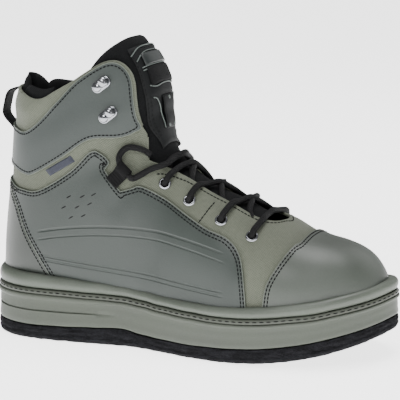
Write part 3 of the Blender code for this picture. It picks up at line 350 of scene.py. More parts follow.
def pillow(name, columns, rowCount, place, outer, inner, rim=(0.06, 0.06), soft=1.0):
    # A padded sheet on the last: place gives section and angle, outer and inner the two offsets
    bm = bmesh.new()
    bm.loops.layers.uv.new("UVMap")
    for sheet in ("outer", "inner"):
        bmesh.ops.create_grid(bm, x_segments=columns, y_segments=rowCount, size=0.5, calc_uvs=True)
    verts = list(bm.verts)
    half = len(verts) // 2
    flat = np.array([tuple(v.co) for v in verts])
    s = flat[:, 0] + 0.5
    t = flat[:, 1] + 0.5
    pick = np.where(np.arange(len(verts)) < half, 1.0, -1.0)
    u, angle = place(s, t)
    near = np.minimum(np.minimum(s, 1 - s) / rim[0], np.minimum(t, 1 - t) / rim[1])
    share = np.sqrt(np.maximum(0.0, 1 - (1 - np.clip(near, 0, 1)) ** 2)) * 0.94 + 0.06
    top = outer(u, angle, s, t)
    bottom = inner(u, angle, s, t)
    offset = (top + bottom) / 2 + pick * (top - bottom) / 2 * share
    moveTo(verts, skinPoints(u, angle, offset, soft))
    bmesh.ops.bridge_loops(bm, edges=[e for e in bm.edges if e.is_boundary])
    bmesh.ops.recalc_face_normals(bm, faces=bm.faces)
    return finishMesh(name, bm, 60)


def meshOf(item):
    graph = bpy.context.evaluated_depsgraph_get()
    graph.update()
    return bpy.data.meshes.new_from_object(item.evaluated_get(graph))


def evaluated(item):
    mesh = meshOf(item)
    item.modifiers.clear()
    item.data = mesh
    return item


def vertsOf(grown):
    return [part for part in grown["geom"] if isinstance(part, bmesh.types.BMVert)]


def prism(points, axis, low, high):
    bm = bmesh.new()
    if axis == "Y":
        verts = [bm.verts.new((a, low, b)) for a, b in points]
        move = (0, high - low, 0)
    else:
        verts = [bm.verts.new((a, b, low)) for a, b in points]
        move = (0, 0, high - low)
    face = bm.faces.new(verts)
    grown = bmesh.ops.extrude_face_region(bm, geom=[face])
    bmesh.ops.translate(bm, verts=vertsOf(grown), vec=move)
    bmesh.ops.recalc_face_normals(bm, faces=bm.faces)
    for face in bm.faces:
        face.material_index = 1
    return finishMesh("cutter", bm)


def cutWith(item, cutter, operation):
    modifier = item.modifiers.new("cut", "BOOLEAN")
    modifier.operation = operation
    modifier.solver = "EXACT"
    modifier.object = cutter
    evaluated(item)
    bpy.data.objects.remove(cutter, do_unlink=True)


def openPatch(item, slack=1e-5):
    # Drops the cutter's faces and all but the largest island, which leaves the bare surface
    bm = bmesh.new()
    bm.from_mesh(item.data)
    bmesh.ops.delete(bm, geom=[f for f in bm.faces if f.material_index == 1], context="FACES")
    bmesh.ops.remove_doubles(bm, verts=bm.verts, dist=slack)
    bmesh.ops.dissolve_degenerate(bm, dist=slack / 2, edges=bm.edges)
    left = set(bm.faces)
    islands = []
    while left:
        stack = [left.pop()]
        island = list(stack)
        while stack:
            for edge in stack.pop().edges:
                for face in edge.link_faces:
                    if face in left:
                        left.remove(face)
                        island.append(face)
                        stack.append(face)
        islands.append(island)
    islands.sort(key=len)
    for island in islands[:-1]:
        bmesh.ops.delete(bm, geom=island, context="FACES")
    bm.to_mesh(item.data)
    bm.free()


def resample(points, step):
    points = [Vector(p) for p in points]
    lengths = pathLengths(points)
    count = max(2, int(round(lengths[-1] / step)) + 1)
    even = []
    k = 0
    for n in range(count):
        target = lengths[-1] * n / (count - 1)
        while k < len(lengths) - 2 and lengths[k + 1] < target:
            k += 1
        t = (target - lengths[k]) / max(1e-9, lengths[k + 1] - lengths[k])
        even.append(points[k].lerp(points[k + 1], min(1.0, t)))
    return even


def smoothLine(points, parts=8, closed=False):
    points = [Vector(p) for p in points]
    count = len(points)
    fine = []
    for k in range(count if closed else count - 1):
        if closed:
            p = [points[(k + m) % count] for m in (-1, 0, 1, 2)]
        else:
            p = [points[max(k - 1, 0)], points[k], points[k + 1], points[min(k + 2, count - 1)]]
        for m in range(parts):
            fine.append(catmull(*p, m / parts))
    if not closed:
        fine.append(points[-1])
    return fine


def insetLine(points, inset):
    count = len(points)
    area = sum(points[i][0] * points[(i + 1) % count][1] - points[(i + 1) % count][0] * points[i][1]
               for i in range(count))
    turnSign = 1.0 if area > 0 else -1.0
    moved = []
    for i in range(count):
        a = (Vector(points[i]) - Vector(points[i - 1])).normalized()
        b = (Vector(points[(i + 1) % count]) - Vector(points[i])).normalized()
        normalA = Vector((-a.y, a.x)) * turnSign
        normalB = Vector((-b.y, b.x)) * turnSign
        bisector = (normalA + normalB).normalized()
        moved.append(Vector(points[i]) + bisector * (inset / max(0.5, bisector.dot(normalA))))
    return moved


def sideView(name, inset=0.0, parts=6):
    # Smooth along the boot, straight between the corners that lie beside or below it
    shares = panelLines[name]
    count = len(shares)
    points = [Vector((lengthOf(a), heightOf(b))) for a, b in shares]
    far = [a < -0.05 or a > 1.05 or b < -0.15 for a, b in shares]
    line = []
    for k in range(count):
        n = (k + 1) % count
        if far[k] and far[n]:
            line.append(points[k])
            continue
        before = points[k] if far[k - 1] or far[k] else points[k - 1]
        after = points[n] if far[(n + 1) % count] or far[n] else points[(n + 1) % count]
        for m in range(parts):
            line.append(catmull(before, points[k], points[n], after, m / parts))
    return insetLine(line, inset) if inset else line


def tubes(name, lines, radius, look, slotName, resolution=3, caps=True):
    curve = bpy.data.curves.new(name, "CURVE")
    curve.dimensions = "3D"
    curve.bevel_depth = radius
    curve.bevel_resolution = resolution
    curve.use_fill_caps = caps
    for line in lines:
        if len(line) < 2:
            continue
        spline = curve.splines.new("POLY")
        spline.points.add(len(line) - 1)
        for point, place in zip(spline.points, line):
            point.co = (place[0], place[1], place[2], 1.0)
    holder = placed(name, curve)
    mesh = meshOf(holder)
    bpy.data.objects.remove(holder, do_unlink=True)
    for face in mesh.polygons:
        face.use_smooth = True
    return dress(placed(name, mesh), look, slotName)


def dress(item, look, slotName, *replaced):
    looks = look if isinstance(look, (list, tuple)) else [look]
    marks = [min(face.material_index, len(looks) - 1) for face in item.data.polygons]
    item.data.materials.clear()
    for one in looks:
        item.data.materials.append(one.material if isinstance(one, Look) else one)
    for face, mark in zip(item.data.polygons, marks):
        face.material_index = mark
    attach(item, "root")
    if replaced:
        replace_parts(item, *replaced)
    return item


def scatter(name, template, frames, look, slotName):
    # Repeats a small template mesh at each frame: place, along, across, outward
    base = np.array([tuple(v.co) for v in template.verts])
    faces = [[v.index for v in f.verts] for f in template.faces]
    points = []
    joined = []
    for n, (place, along, across, outward) in enumerate(frames):
        basis = np.array((tuple(along), tuple(across), tuple(outward)))
        points.append(base @ basis + np.array(tuple(place)))
        joined.extend([[i + n * len(base) for i in face] for face in faces])
    template.free()
    mesh = bpy.data.meshes.new(name)
    mesh.from_pydata(np.concatenate(points).tolist(), [], joined)
    for face in mesh.polygons:
        face.use_smooth = True
    return dress(placed(name, mesh), look, slotName)


def bead(length, width, height, segments=6, rings=4):
    bm = bmesh.new()
    bmesh.ops.create_uvsphere(bm, u_segments=segments, v_segments=rings, radius=0.5)
    bmesh.ops.rotate(bm, verts=bm.verts, cent=(0, 0, 0), matrix=Matrix.Rotation(math.pi / 2, 3, "Y"))
    bmesh.ops.scale(bm, verts=bm.verts, vec=(length, width, height))
    bm.verts.index_update()
    return bm


# Materials: a socket that takes Python maths, and a look that holds one node tree

class Wire:
    def __init__(self, look, socket):
        self.look = look
        self.socket = socket

    def maths(self, operation, *values):
        return self.look.add("ShaderNodeMath", {"operation": operation}, values)

    def __add__(self, other):
        return self.maths("ADD", self, other)

    def __mul__(self, other):
        return self.maths("MULTIPLY", self, other)

    def __sub__(self, other):
        return self.maths("SUBTRACT", self, other)

    def __rsub__(self, other):
        return self.maths("SUBTRACT", other, self)

    __radd__ = __add__
    __rmul__ = __mul__

    def sine(self):
        return self.maths("SINE", self)

    def size(self):
        return self.maths("ABSOLUTE", self)

    def most(self, other):
        return self.maths("MAXIMUM", self, other)

    def between(self, low, high, toLow=0.0, toHigh=1.0):
        return self.look.add("ShaderNodeMapRange", {"interpolation_type": "SMOOTHSTEP"},
                             [self, low, high, toLow, toHigh])


class Look:
    def __init__(self, name, color, roughness, **sockets):
        self.material = bpy.data.materials.new(name)
        self.material.use_nodes = True
        self.tree = self.material.node_tree
        self.shader = self.tree.nodes["Principled BSDF"]
        self.color = color
        self.put("Base Color", plain(color))
        self.put("Roughness", roughness)
        for socket, value in sockets.items():
            self.put(socket.replace("_", " "), value)

    def put(self, socket, value):
        self.fill(self.shader.inputs[socket], value)

    def fill(self, socket, value):
        if isinstance(value, Wire):
            self.tree.links.new(value.socket, socket)
        else:
            socket.default_value = value

    def add(self, kind, settings=None, values=None, output=0):
        node = self.tree.nodes.new(kind)
        for key, value in (settings or {}).items():
            setattr(node, key, value)
        pairs = values.items() if isinstance(values, dict) else enumerate(values or [])
        for key, value in pairs:
            self.fill(node.inputs[key], value)
        return Wire(self, node.outputs[output])

    def place(self, kind="Object"):
        return self.add("ShaderNodeTexCoord", output=kind)

    def axes(self, kind="Object"):
        parts = self.tree.nodes.new("ShaderNodeSeparateXYZ")
        self.fill(parts.inputs[0], self.place(kind))
        return [Wire(self, parts.outputs[i]) for i in range(3)]

    def noise(self, scale, detail=3.0, rough=0.5, vector=None, output=0):
        return self.add("ShaderNodeTexNoise", {}, {"Vector": vector or self.place(), "Scale": scale,
                        "Detail": detail, "Roughness": rough}, output)

    def cells(self, scale, vector=None, feature="F1", output=0):
        return self.add("ShaderNodeTexVoronoi", {"feature": feature},
                        {"Vector": vector or self.place(), "Scale": scale}, output)

    def shade(self, mask, low, high):
        node = self.tree.nodes.new("ShaderNodeMix")
        node.data_type = "RGBA"
        self.fill(node.inputs[0], mask)
        for index, value in ((6, low), (7, high)):
            self.fill(node.inputs[index], value if isinstance(value, Wire) else plain(value))
        return Wire(self, node.outputs[2])

    def tones(self, mask, low, high):
        # The look's own colour, from low to high times as bright
        return self.shade(mask, tint(self.color, low), tint(self.color, high))

    def finish(self, *reliefs):
        # Each relief: height, distance in metres, strength
        normal = None
        for height, distance, strength in reliefs:
            values = {"Height": height, "Distance": distance, "Strength": strength}
            if normal:
                values["Normal"] = normal
            normal = self.add("ShaderNodeBump", {}, values)
        if normal:
            self.put("Normal", normal)
        return self


def plain(color):
    # 0-255 display colour to scene-linear
    if len(color) == 4:
        return color
    return tuple(((c / 255 + 0.055) / 1.055) ** 2.4 if c > 10 else c / 255 / 12.92 for c in color) + (1.0,)


def tint(color, factor):
    return tuple(min(255.0, c * factor) for c in color)


# Noise and cell scales are counts in a metre
archLines = {"curves": ((0.0882, 0.0009), (0.0822, 0.0007)), "fall": 1.65, "middle": 0.074,
             "straight": (0.0580, 0.0612), "slope": 0.083, "slopeFrom": 0.024}


def archRelief(look):
    x, y, z = look.axes()
    off = x - archLines["middle"]
    gaps = [(z - (top - off * off * archLines["fall"])).size().between(width * 0.4, width * 1.5)
            for top, width in archLines["curves"]]
    sloped = z + (x - archLines["slopeFrom"]) * archLines["slope"]
    gaps += [(sloped - level).size().between(0.0003, 0.0010) for level in archLines["straight"]]
    height = 1.0 - gaps[0]
    for space in gaps[1:]:
        height = height.most(1.0 - space)
    return 1.0 - height * (x.between(0.004, 0.010) * x.between(0.150, 0.158, 1.0, 0.0))


def smoothLeather(name, color, arch=False, roughness=0.44, specular=0.5, coat=0.06):
    look = Look(name, color, roughness, Specular_IOR_Level=specular, Coat_Weight=coat, Coat_Roughness=0.35)
    broad = look.noise(14.0, 2.0)
    fine = look.noise(620.0, 3.0, 0.6)
    look.put("Base Color", look.tones((broad * 0.7 + fine * 0.3).between(0.3, 0.7), 0.95, 1.045))
    look.put("Roughness", broad.between(0.3, 0.7, roughness - 0.05, roughness + 0.07))
    reliefs = [(look.cells(980.0), 0.00010, 0.35), (fine, 0.00012, 0.35),
               (look.noise(60.0, 2.0), 0.0006, 0.25)]
    if arch:
        reliefs.append((archRelief(look), 0.0006, 0.75))
    return look.finish(*reliefs)


def wovenTextile(name, color, pitch=0.00115):
    look = Look(name, color, 0.82, Sheen_Weight=0.08, Sheen_Roughness=0.5)
    x, y, z = look.axes()
    turns = 2 * math.pi / pitch
    slip = look.noise(140.0, 2.0) * 9.0
    warp = (x * (0.80 * turns) + z * (0.60 * turns) + y * (0.45 * turns) + slip).sine()
    weft = (z * (0.80 * turns) - x * (0.60 * turns) + y * (0.45 * turns) - slip).sine()
    weave = warp.most(weft) * 0.5 + 0.5
    yarn = look.noise(520.0, 3.0, 0.6)
    mask = (weave * 0.45 + yarn * 0.35 + look.noise(22.0, 3.0) * 0.2).between(0.25, 0.85)
    look.put("Base Color", look.tones(mask, 0.80, 1.12))
    look.put("Roughness", mask.between(0.0, 1.0, 0.88, 0.74))
    return look.finish((weave * 0.7 + yarn * 0.5, 0.00022, 0.7), (look.noise(90.0, 2.0), 0.0007, 0.3))


def feltLook(name, color):
    look = Look(name, color, 0.97, Specular_IOR_Level=0.12)
    stretched = look.add("ShaderNodeMapping", {}, {"Vector": look.place(), "Scale": (1.0, 1.0, 3.2)})
    fibre = look.noise(750.0, 5.0, 0.75, stretched)
    clump = look.noise(130.0, 4.0, 0.65, stretched)
    look.put("Base Color", look.tones((fibre * 0.6 + clump * 0.4).between(0.35, 0.68), 0.4, 3.4))
    return look.finish((fibre, 0.0006, 0.9), (clump, 0.0012, 0.6))


def mouldedRubber(name, color, roughness, grain, depth, flecks=0.0):
    look = Look(name, color, roughness)
    fine = look.noise(grain, 3.0, 0.6)
    broad = look.noise(30.0, 3.0)
    base = look.tones((fine * 0.4 + broad * 0.6).between(0.32, 0.7), 0.93, 1.05)
    if flecks:
        spots = look.cells(grain * 1.3).between(0.10, 0.20, 1.0, 0.0)
        base = look.shade(spots * flecks, base, tint(color, 0.6))
    look.put("Base Color", base)
    look.put("Roughness", broad.between(0.3, 0.7, roughness - 0.06, roughness + 0.08))
    return look.finish((fine, depth, 0.5))


def paddedTextile(name, color, pitch=0.0016):
    look = Look(name, color, 0.88, Specular_IOR_Level=0.2)
    x, y, z = look.axes()
    turns = 2 * math.pi / pitch
    mesh = ((x + y) * turns).sine() * ((z + y * 0.5) * turns).sine() * 0.5 + 0.5
    yarn = look.noise(900.0, 2.0)
    look.put("Base Color", look.tones((mesh * 0.6 + yarn * 0.4).between(0.2, 0.8), 0.72, 1.22))
    return look.finish((mesh, 0.00022, 0.7), (yarn, 0.00012, 0.5))


def webbingLook(name, color, ribs):
    # Ribs across the strap, from the strap's own UV map
    look = Look(name, color, 0.78, Specular_IOR_Level=0.2)
    u, v, w = look.axes("UV")
    across = (u * (ribs * 2 * math.pi)).sine()
    along = (v * (14 * 2 * math.pi)).sine()
    weave = (across * along) * 0.35 + across * 0.3 + 0.5
    yarn = look.noise(1100.0, 2.0)
    look.put("Base Color", look.tones((weave * 0.7 + yarn * 0.3).between(0.2, 0.8), 0.65, 1.3))
    return look.finish((weave, 0.00030, 0.8), (yarn, 0.0001, 0.5))


def braidLook(name, color, turnsAlong, strands=8):
    look = Look(name, color, 0.74, Specular_IOR_Level=0.25)
    u, v, w = look.axes("UV")
    one = ((u * turnsAlong + v * strands) * (2 * math.pi)).sine()
    two = ((u * turnsAlong - v * strands) * (2 * math.pi)).sine()
    braid = one.most(two) * 0.5 + 0.5
    yarn = look.noise(1300.0, 2.0)
    look.put("Base Color", look.tones((braid * 0.75 + yarn * 0.25).between(0.3, 0.9), 0.6, 1.25))
    return look.finish((braid, 0.00035, 0.9), (yarn, 0.0001, 0.4))


def metalLook(name, color, roughness):
    look = Look(name, color, roughness, Metallic=1.0)
    wear = look.noise(160.0, 3.0)
    scratch = look.noise(1500.0, 2.0)
    look.put("Roughness", (wear * 0.7 + scratch * 0.3).between(0.3, 0.75, roughness * 0.7, roughness * 1.8))
    look.put("Base Color", look.tones(wear.between(0.3, 0.7), 0.94, 1.0))
    return look.finish((scratch, 0.00002, 0.3))


def threadLook(name, color):
    look = Look(name, color, 0.74, Specular_IOR_Level=0.2)
    twist = look.noise(1800.0, 2.0)
    look.put("Base Color", look.tones(twist.between(0.3, 0.7), 0.7, 1.4))
    return look.finish((twist, 0.00012, 0.6))


colors = {
    "toe": (72, 77, 71), "quarter": (47, 54, 50), "heel": (48, 53, 48), "ankle": (47, 54, 51),
    "olive": (87, 91, 78), "rand": (84, 90, 81), "strip": (64, 68, 59), "midsole": (74, 79, 70),
    "felt": (12, 12, 13), "lace": (6, 6, 7), "tongue": (9, 10, 11), "facing": (8, 10, 11),
    "lining": (13, 14, 15), "webbing": (6, 6, 7), "tab": (42, 45, 57), "thread": (5, 6, 6),
    # edge: lighter than the leather, the raw cut edge's colour with a painted highlight on the rolled edges
    # hole: near-black, painted shade for the eyelet holes and vent slits
    "edge": (92, 98, 88), "piping": (84, 92, 88), "badge": (28, 33, 32), "hole": (4, 4, 5),
    "insole": (24, 25, 28), "silver": (160, 162, 166),
}
toeLeather = smoothLeather("toe leather", colors["toe"])
quarterLeather = smoothLeather("quarter leather", colors["quarter"], arch=True)
heelLeather = smoothLeather("heel leather", colors["heel"])
ankleLeather = smoothLeather("ankle leather", colors["ankle"])
oliveTextile = wovenTextile("olive woven textile", colors["olive"])
liningTextile = paddedTextile("black lining", colors["lining"])
tongueTextile = paddedTextile("black padded tongue", colors["tongue"])
facingLeather = smoothLeather("black synthetic facing", colors["facing"], False, 0.62, 0.22, 0.0)
felt = feltLook("dense black felt", colors["felt"])
foam = mouldedRubber("moulded midsole", colors["midsole"], 0.58, 900.0, 0.00015, flecks=0.25)
randRubber = mouldedRubber("rolled rand", colors["rand"], 0.50, 700.0, 0.00012)
stripRubber = mouldedRubber("welt strip", colors["strip"], 0.52, 800.0, 0.00012)
# Lighter than the leather: the raw cut edge's own colour with a painted highlight on the rolled edge
edgeTrimAndHighlight = mouldedRubber("cut edge and painted highlight", colors["edge"], 0.5, 900.0, 0.0001)
piping = mouldedRubber("grey piping", colors["piping"], 0.5, 900.0, 0.0001)
badgeRubber = mouldedRubber("plain badge", colors["badge"], 0.42, 1200.0, 0.00008)
# Near-black look for openings: painted shade inside the eyelet holes and vent slits
holeShade = mouldedRubber("painted hole shade", colors["hole"], 0.9, 500.0, 0.0001)
thread = threadLook("black thread", colors["thread"])
silver = metalLook("polished silver", colors["silver"], 0.14)
insoleFabric = paddedTextile("insole fabric", colors["insole"])
tabWeave = wovenTextile("plain woven tab", colors["tab"], 0.0009)
print("materials made")


# Sole: felt, midsole, welt strip, rand

soleShape = {"arcParts": 110, "step": 0.0028, "middle": 0.030}


def soleOutline():
    arcs = []
    table = outline * (boot["soleLength"], boot["ballWidth"], boot["ballWidth"]) - (soleBack, 0, 0)
    for column in (1, 2):
        line = [(table[1][0], table[1][3 - column])] + [(r[0], r[column]) for r in table]
        line += [(table[-2][0], table[-2][3 - column])]
        fine = []
        for k in range(1, len(line) - 2):
            around = [np.array(line[k + n]) for n in (-1, 0, 1, 2)]
            fine.extend(catmull(*around, m / 12) for m in range(12))
        fine.append(np.array(line[-2]))
        even = resample([(p[0], p[1], 0.0) for p in fine], soleShape["step"])
        even = resample(even, pathLengths(even)[-1] / soleShape["arcParts"])
        arcs.append([p.to_2d() for p in even])
    outer, inner = arcs
    return outer + inner[-2:0:-1]


solePath = soleOutline()


def insetSole(amount):
    count = len(solePath)
    moved = []
    for i, p in enumerate(solePath):
        tangent = (solePath[(i + 1) % count] - solePath[i - 1]).normalized()
        push = amount(p.x) if callable(amount) else amount
        moved.append(p + Vector((-tangent.y, tangent.x)) * push)
    return moved


def soleSlab(name, rings, jitter=0.0):
    # rings: inset and height function of x, from the bottom up
    loops = []
    for amount, height in rings:
        flat = insetSole(amount)
        xs = np.array([p.x for p in flat])
        loops.append(np.stack([xs, np.array([p.y for p in flat]), height(xs)], -1))
    loops = np.array(loops)
    count = loops.shape[1]
    if jitter:
        noise = np.random.default_rng(7).normal(0.0, jitter, loops.shape)
        loops = loops + noise

    def place(s, t):
        j = np.rint(s * count).astype(int) % count
        i = np.rint(t * (len(rings) - 1)).astype(int)
        return loops[i, j]

    bm = gridPiece(count, len(rings) - 1, place, wrap=True, caps=True)
    return finishMesh(name, bm, 50)


def mixed(low, high, share, lift=0.0):
    return lambda x: low(x) + (high(x) - low(x)) * share + lift


def ringsBetween(low, high, rows):
    # Each row: inset, share of the height from low to high, and lift in metres if any
    return [(inset, mixed(low, high, share, *lift)) for inset, share, *lift in rows]


middle = soleShape["middle"]
feltRows = [(middle, 0, 0.0001), (0.0034, 0), (0.0022, 0, 0.0003), (0.0012, 0, 0.0012)]
feltRows += [(0.0007 + 0.0003 * math.cos(k * 1.7), 0.12 + k * 0.1) for k in range(1, 9)]
feltRows += [(0.0012, 0.985), (middle, 1)]
feltSole = soleSlab("feltSole", ringsBetween(groundLine, feltTop, feltRows), jitter=0.00012)
dress(feltSole, felt, "felt", "felt_outsole")


def midLow(x):
    return feltTop(x) + gap


def heelGroove(x):
    # Cut deeper along the heel half
    return 0.0012 + 0.0012 * np.clip((lengthOf(0.36) - x) / 0.03, 0, 1)


midRows = [(middle, 0), (0.0024, 0), (0.0010, 0.03), (0.0007, 0.08), (0.0009, 0.20), (0.0012, 0.34),
           (0.0012, 0.455), (heelGroove, 0.475), (heelGroove, 0.50), (0.0012, 0.52), (0.0013, 0.66),
           (0.0015, 0.80), (0.0013, 0.835), (0.0004, 0.855), (0.0001, 0.88), (0.0001, 0.945),
           (0.0005, 0.985), (0.0014, 1), (middle, 1)]
dress(soleSlab("midsoleFoam", ringsBetween(midLow, midsoleTop, midRows)), foam, "foam", "midsole")

stripRows = [(0.014, 0, gap), (0.0012, 0, gap), (0.0008, 0.20), (0.0009, 0.75), (0.0014, 0.95), (0.0022, 1),
             (0.014, 1)]
dress(soleSlab("weltStrip", ringsBetween(midsoleTop, stripTop, stripRows)), stripRubber, "strip_rubber",
      "welt_strip")


def randBase(x):
    return stripTop(x) + gap


randRows = [(0.012, 0), (0.0034, 0), (0.0022, 0.06), (0.0015, 0.18), (0.0011, 0.34), (0.0010, 0.50),
            (0.0014, 0.66), (0.0022, 0.80), (0.0034, 0.92), (0.0050, 0.985), (0.0066, 1), (0.0085, 0.97),
            (0.012, 0.80)]
dress(soleSlab("rolledRand", ringsBetween(randBase, randTop, randRows)), randRubber, "rand_rubber",
      "rand_roll")

insoleRows = [(0.0177, 0, gap), (0.0170, 0, 0.0012), (0.0170, 0, 0.0045), (0.0183, 0, 0.0060),
              (0.0285, 0, 0.0058)]
dress(soleSlab("insolePad", ringsBetween(midsoleTop, midsoleTop, insoleRows)), insoleFabric, "insole_fabric",
      "insole")

weltStitch = {"pitch": 0.0052, "size": (0.0036, 0.0009, 0.0009), "inset": 0.0008, "share": 0.55}
dashes = []
stripLine = [p.to_3d() for p in insetSole(weltStitch["inset"])]
stitchLevel = mixed(midsoleTop, stripTop, weltStitch["share"])
even = resample(stripLine + stripLine[:1], weltStitch["pitch"])
for a, b in zip(even, even[1:]):
    flat = (b - a).normalized()
    outward = Vector((flat.y, -flat.x, 0))
    spot = (a + b) / 2
    z = float(stitchLevel(np.array([spot.x]))[0])
    rise = float(midsoleTop(np.array([b.x]))[0] - midsoleTop(np.array([a.x]))[0])
    along = Vector((b.x - a.x, b.y - a.y, rise)).normalized()
    dashes.append((Vector((spot.x, spot.y, z)) + outward * 0.0001, along, Vector((0, 0, 1)), outward))
scatter("weltStitches", bead(*weltStitch["size"]), dashes, thread, "strip_rubber")
print("sole made")


# Upper: one hollow shell, and the panels laid on it

dummyLooks = [bpy.data.materials.new("shell side"), bpy.data.materials.new("cutter side")]
topShare = (lastRow - 0.06) / lastRow


def skinObject(name, offset, columns=120, rowCount=124):
    def place(s, t):
        return skinPoints(t * topShare * lastRow, s * 2 * math.pi, np.full(s.shape, offset))

    item = finishMesh(name, gridPiece(columns, rowCount, place, wrap=True, caps=True))
    for look in dummyLooks:
        item.data.materials.append(look)
    return item


def copyOf(item, name):
    return placed(name, item.data.copy())


def softEdge(item, width, sharp):
    rim = item.modifiers.new("rim", "BEVEL")
    rim.width = width
    rim.segments = 2
    rim.limit_method = "ANGLE"
    rim.angle_limit = math.radians(sharp)
    rim.use_clamp_overlap = True


def thicken(item, thickness, bevel, sharp=60.0, innerLook=False):
    solid = item.modifiers.new("wall", "SOLIDIFY")
    solid.thickness = thickness
    solid.offset = -1.0
    solid.use_even_offset = False
    if innerLook:
        solid.material_offset = 1
    if bevel:
        softEdge(item, bevel, sharp)
    evaluated(item)
    bm = bmesh.new()
    bm.from_mesh(item.data)
    smoothFaces(bm, 50)
    bm.to_mesh(item.data)
    bm.free()
    return item


bareSkin = skinObject("bare skin", 0.0)
panelSkin = skinObject("panel skin", gap + layer)


def treeOf(item):
    bm = bmesh.new()
    bm.from_mesh(item.data)
    tree = BVHTree.FromBMesh(bm)
    bm.free()
    return tree


bareTree = treeOf(bareSkin)
panelTree = treeOf(panelSkin)

upper = copyOf(bareSkin, "upperShell")
collarLine = smoothLine([(lengthOf(a), heightOf(b)) for a, b in panelLines["collar"]], 6)
skyHigh = heightOf(1.35)
beside = 0.12  # well clear of the widest place
aboveCollar = [(collarLine[-1][0], skyHigh), (collarLine[0][0], skyHigh)]
cutWith(upper, prism(collarLine + aboveCollar, "Y", -beside, beside), "DIFFERENCE")
throatLine = smoothLine([(lengthOf(a), b * upperWidth) for a, b in throatHalf], 6)
throat = [(p.x, -p.y) for p in throatLine] + [(p.x, p.y) for p in reversed(throatLine[1:])]
cutWith(upper, prism(throat, "Z", heightOf(0.16), skyHigh), "DIFFERENCE")
seatXs = np.linspace(-0.06, 0.29, 60)
seat = [(x, z) for x, z in zip(seatXs, midsoleTop(seatXs) + gap)] + [(0.29, -0.03), (-0.06, -0.03)]
cutWith(upper, prism(seat, "Y", -beside, beside), "DIFFERENCE")
openPatch(upper)
for face in upper.data.polygons:
    face.material_index = 0
thicken(upper, wall, 0.0006, innerLook=True)
dress(upper, [oliveTextile, liningTextile], "woven_textile", "upper")


def panel(name, line, low, high, look, node):
    item = copyOf(panelSkin, name)
    cutWith(item, prism(insetLine(line, 0.0002), "Y", low, high), "INTERSECT")
    openPatch(item)
    item.data.materials.clear()
    thicken(item, layer, 0.00045)
    return dress(item, look, "smooth_leather", node)


for name, line, low, high, look, node in (
        ("toeCap", "toe", -beside, beside, toeLeather, "toe_cap"),
        ("quarterOuter", "quarter", -beside, 0.0, quarterLeather, "quarter_panel_outer"),
        ("quarterInner", "quarter", 0.0, beside, quarterLeather, "quarter_panel_inner"),
        ("heelCounter", "heel", -beside, beside, heelLeather, "heel_counter"),
        ("anklePanel", "ankle", -beside, beside, ankleLeather, "ankle_panel")):
    panel(name, sideView(line), low, high, look, node)
for item in (bareSkin, panelSkin):
    bpy.data.objects.remove(item, do_unlink=True)
print("upper and panels made")


# Lines on the upper: places and outward directions

def castSide(tree, x, z, side):
    place, normal, index, away = tree.ray_cast(Vector((x, side * 0.2, z)), Vector((0, -side, 0)))
    if place is None or abs(normal.y) < 0.12:
        return None
    return place, normal if normal.y * side > 0 else -normal


def sideLines(tree, points, side, step=0.0012, lift=0.0):
    # Splits a side-view line where it leaves the side of the boot or goes under the rand
    pieces = [[]]
    for p in resample([(q[0], q[1], 0.0) for q in points], step):
        hit = castSide(tree, p.x, p.y, side)
        if hit is None or p.y < randTop(np.array([p.x]))[0] - 0.002:
            if pieces[-1]:
                pieces.append([])
            continue
        pieces[-1].append((hit[0] + hit[1] * lift, hit[1]))
    return [piece for piece in pieces if len(piece) > 2]


def sectionWhere(test, angles, low, high, offset):
    # For each angle round the last, the section where test turns true
    a = np.full(angles.shape, float(low))
    b = np.full(angles.shape, float(high))
    for halving in range(28):
        middle = (a + b) / 2
        past = test(skinPoints(middle, angles, np.full(angles.shape, offset)))
        b = np.where(past, middle, b)
        a = np.where(past, a, middle)
    return (a + b) / 2


def solvedLine(test, angles, low, high, offset):
    u = sectionWhere(test, angles, low, high, offset)
    places = skinPoints(u, angles, np.full(angles.shape, offset))
    return [(Vector(p), Vector(n)) for p, n in zip(places, lastNormals(u, angles))]


def graphOf(line):
    xs = np.array([p[0] for p in line])
    zs = np.array([p[1] for p in line])
    order = np.argsort(xs)
    return lambda x: np.interp(x, xs[order], zs[order])


def placesOf(line):
    return [p for p, n in line]


def stitchFrames(line, pitch):
    places = resample(placesOf(line), pitch)
    normals = [n for p, n in line]
    lengths = pathLengths(placesOf(line))
    frames = []
    for k, (a, b) in enumerate(zip(places, places[1:])):
        share = (k + 0.5) / (len(places) - 1)
        n = normals[min(len(normals) - 1, int(np.searchsorted(lengths, share * lengths[-1])))]
        along = (b - a).normalized()
        outward = (n - along * n.dot(along)).normalized()
        frames.append(((a + b) / 2, along, outward.cross(along), outward))
    return frames


def openPart(points, keep):
    # The stretches of a closed side-view line that keep(x, z) accepts
    count = len(points)
    start = next((i for i in range(count) if not keep(*points[i])), 0)
    pieces = [[]]
    for i in range(count + 1):
        p = points[(start + i) % count]
        if keep(*p):
            pieces[-1].append(p)
        elif pieces[-1]:
            pieces.append([])
    return [piece for piece in pieces if len(piece) > 3]


seams = {"first": 0.0014, "second": 0.0035, "ankle": 0.0021, "heel": 0.0022, "edge": 0.0002,
         "pitch": 0.0029, "edgeRadius": 0.00036, "stitch": (0.0026, 0.00105, 0.0008)}
onPanel = gap + layer
stitchLift = 0.0001
edgeLift = -0.0002
stitchRows = []
edgeLines = []
backX = lengthOf(0.075)  # behind it the lines wrap round the heel
sideAngles = np.radians(np.linspace(100, 260, 160))


def wrapLine(line, offset, low=17.0, high=25.9):
    graph = graphOf(line)
    return [q for q in solvedLine(lambda p: p[..., 2] > graph(p[..., 0]), sideAngles, low, high, offset)
            if q[0].x <= backX + 0.001]


def addSide(target, name, inset, side, lift, keep):
    for piece in openPart(sideView(name, inset), keep):
        target.extend(sideLines(panelTree, piece, side, lift=lift))


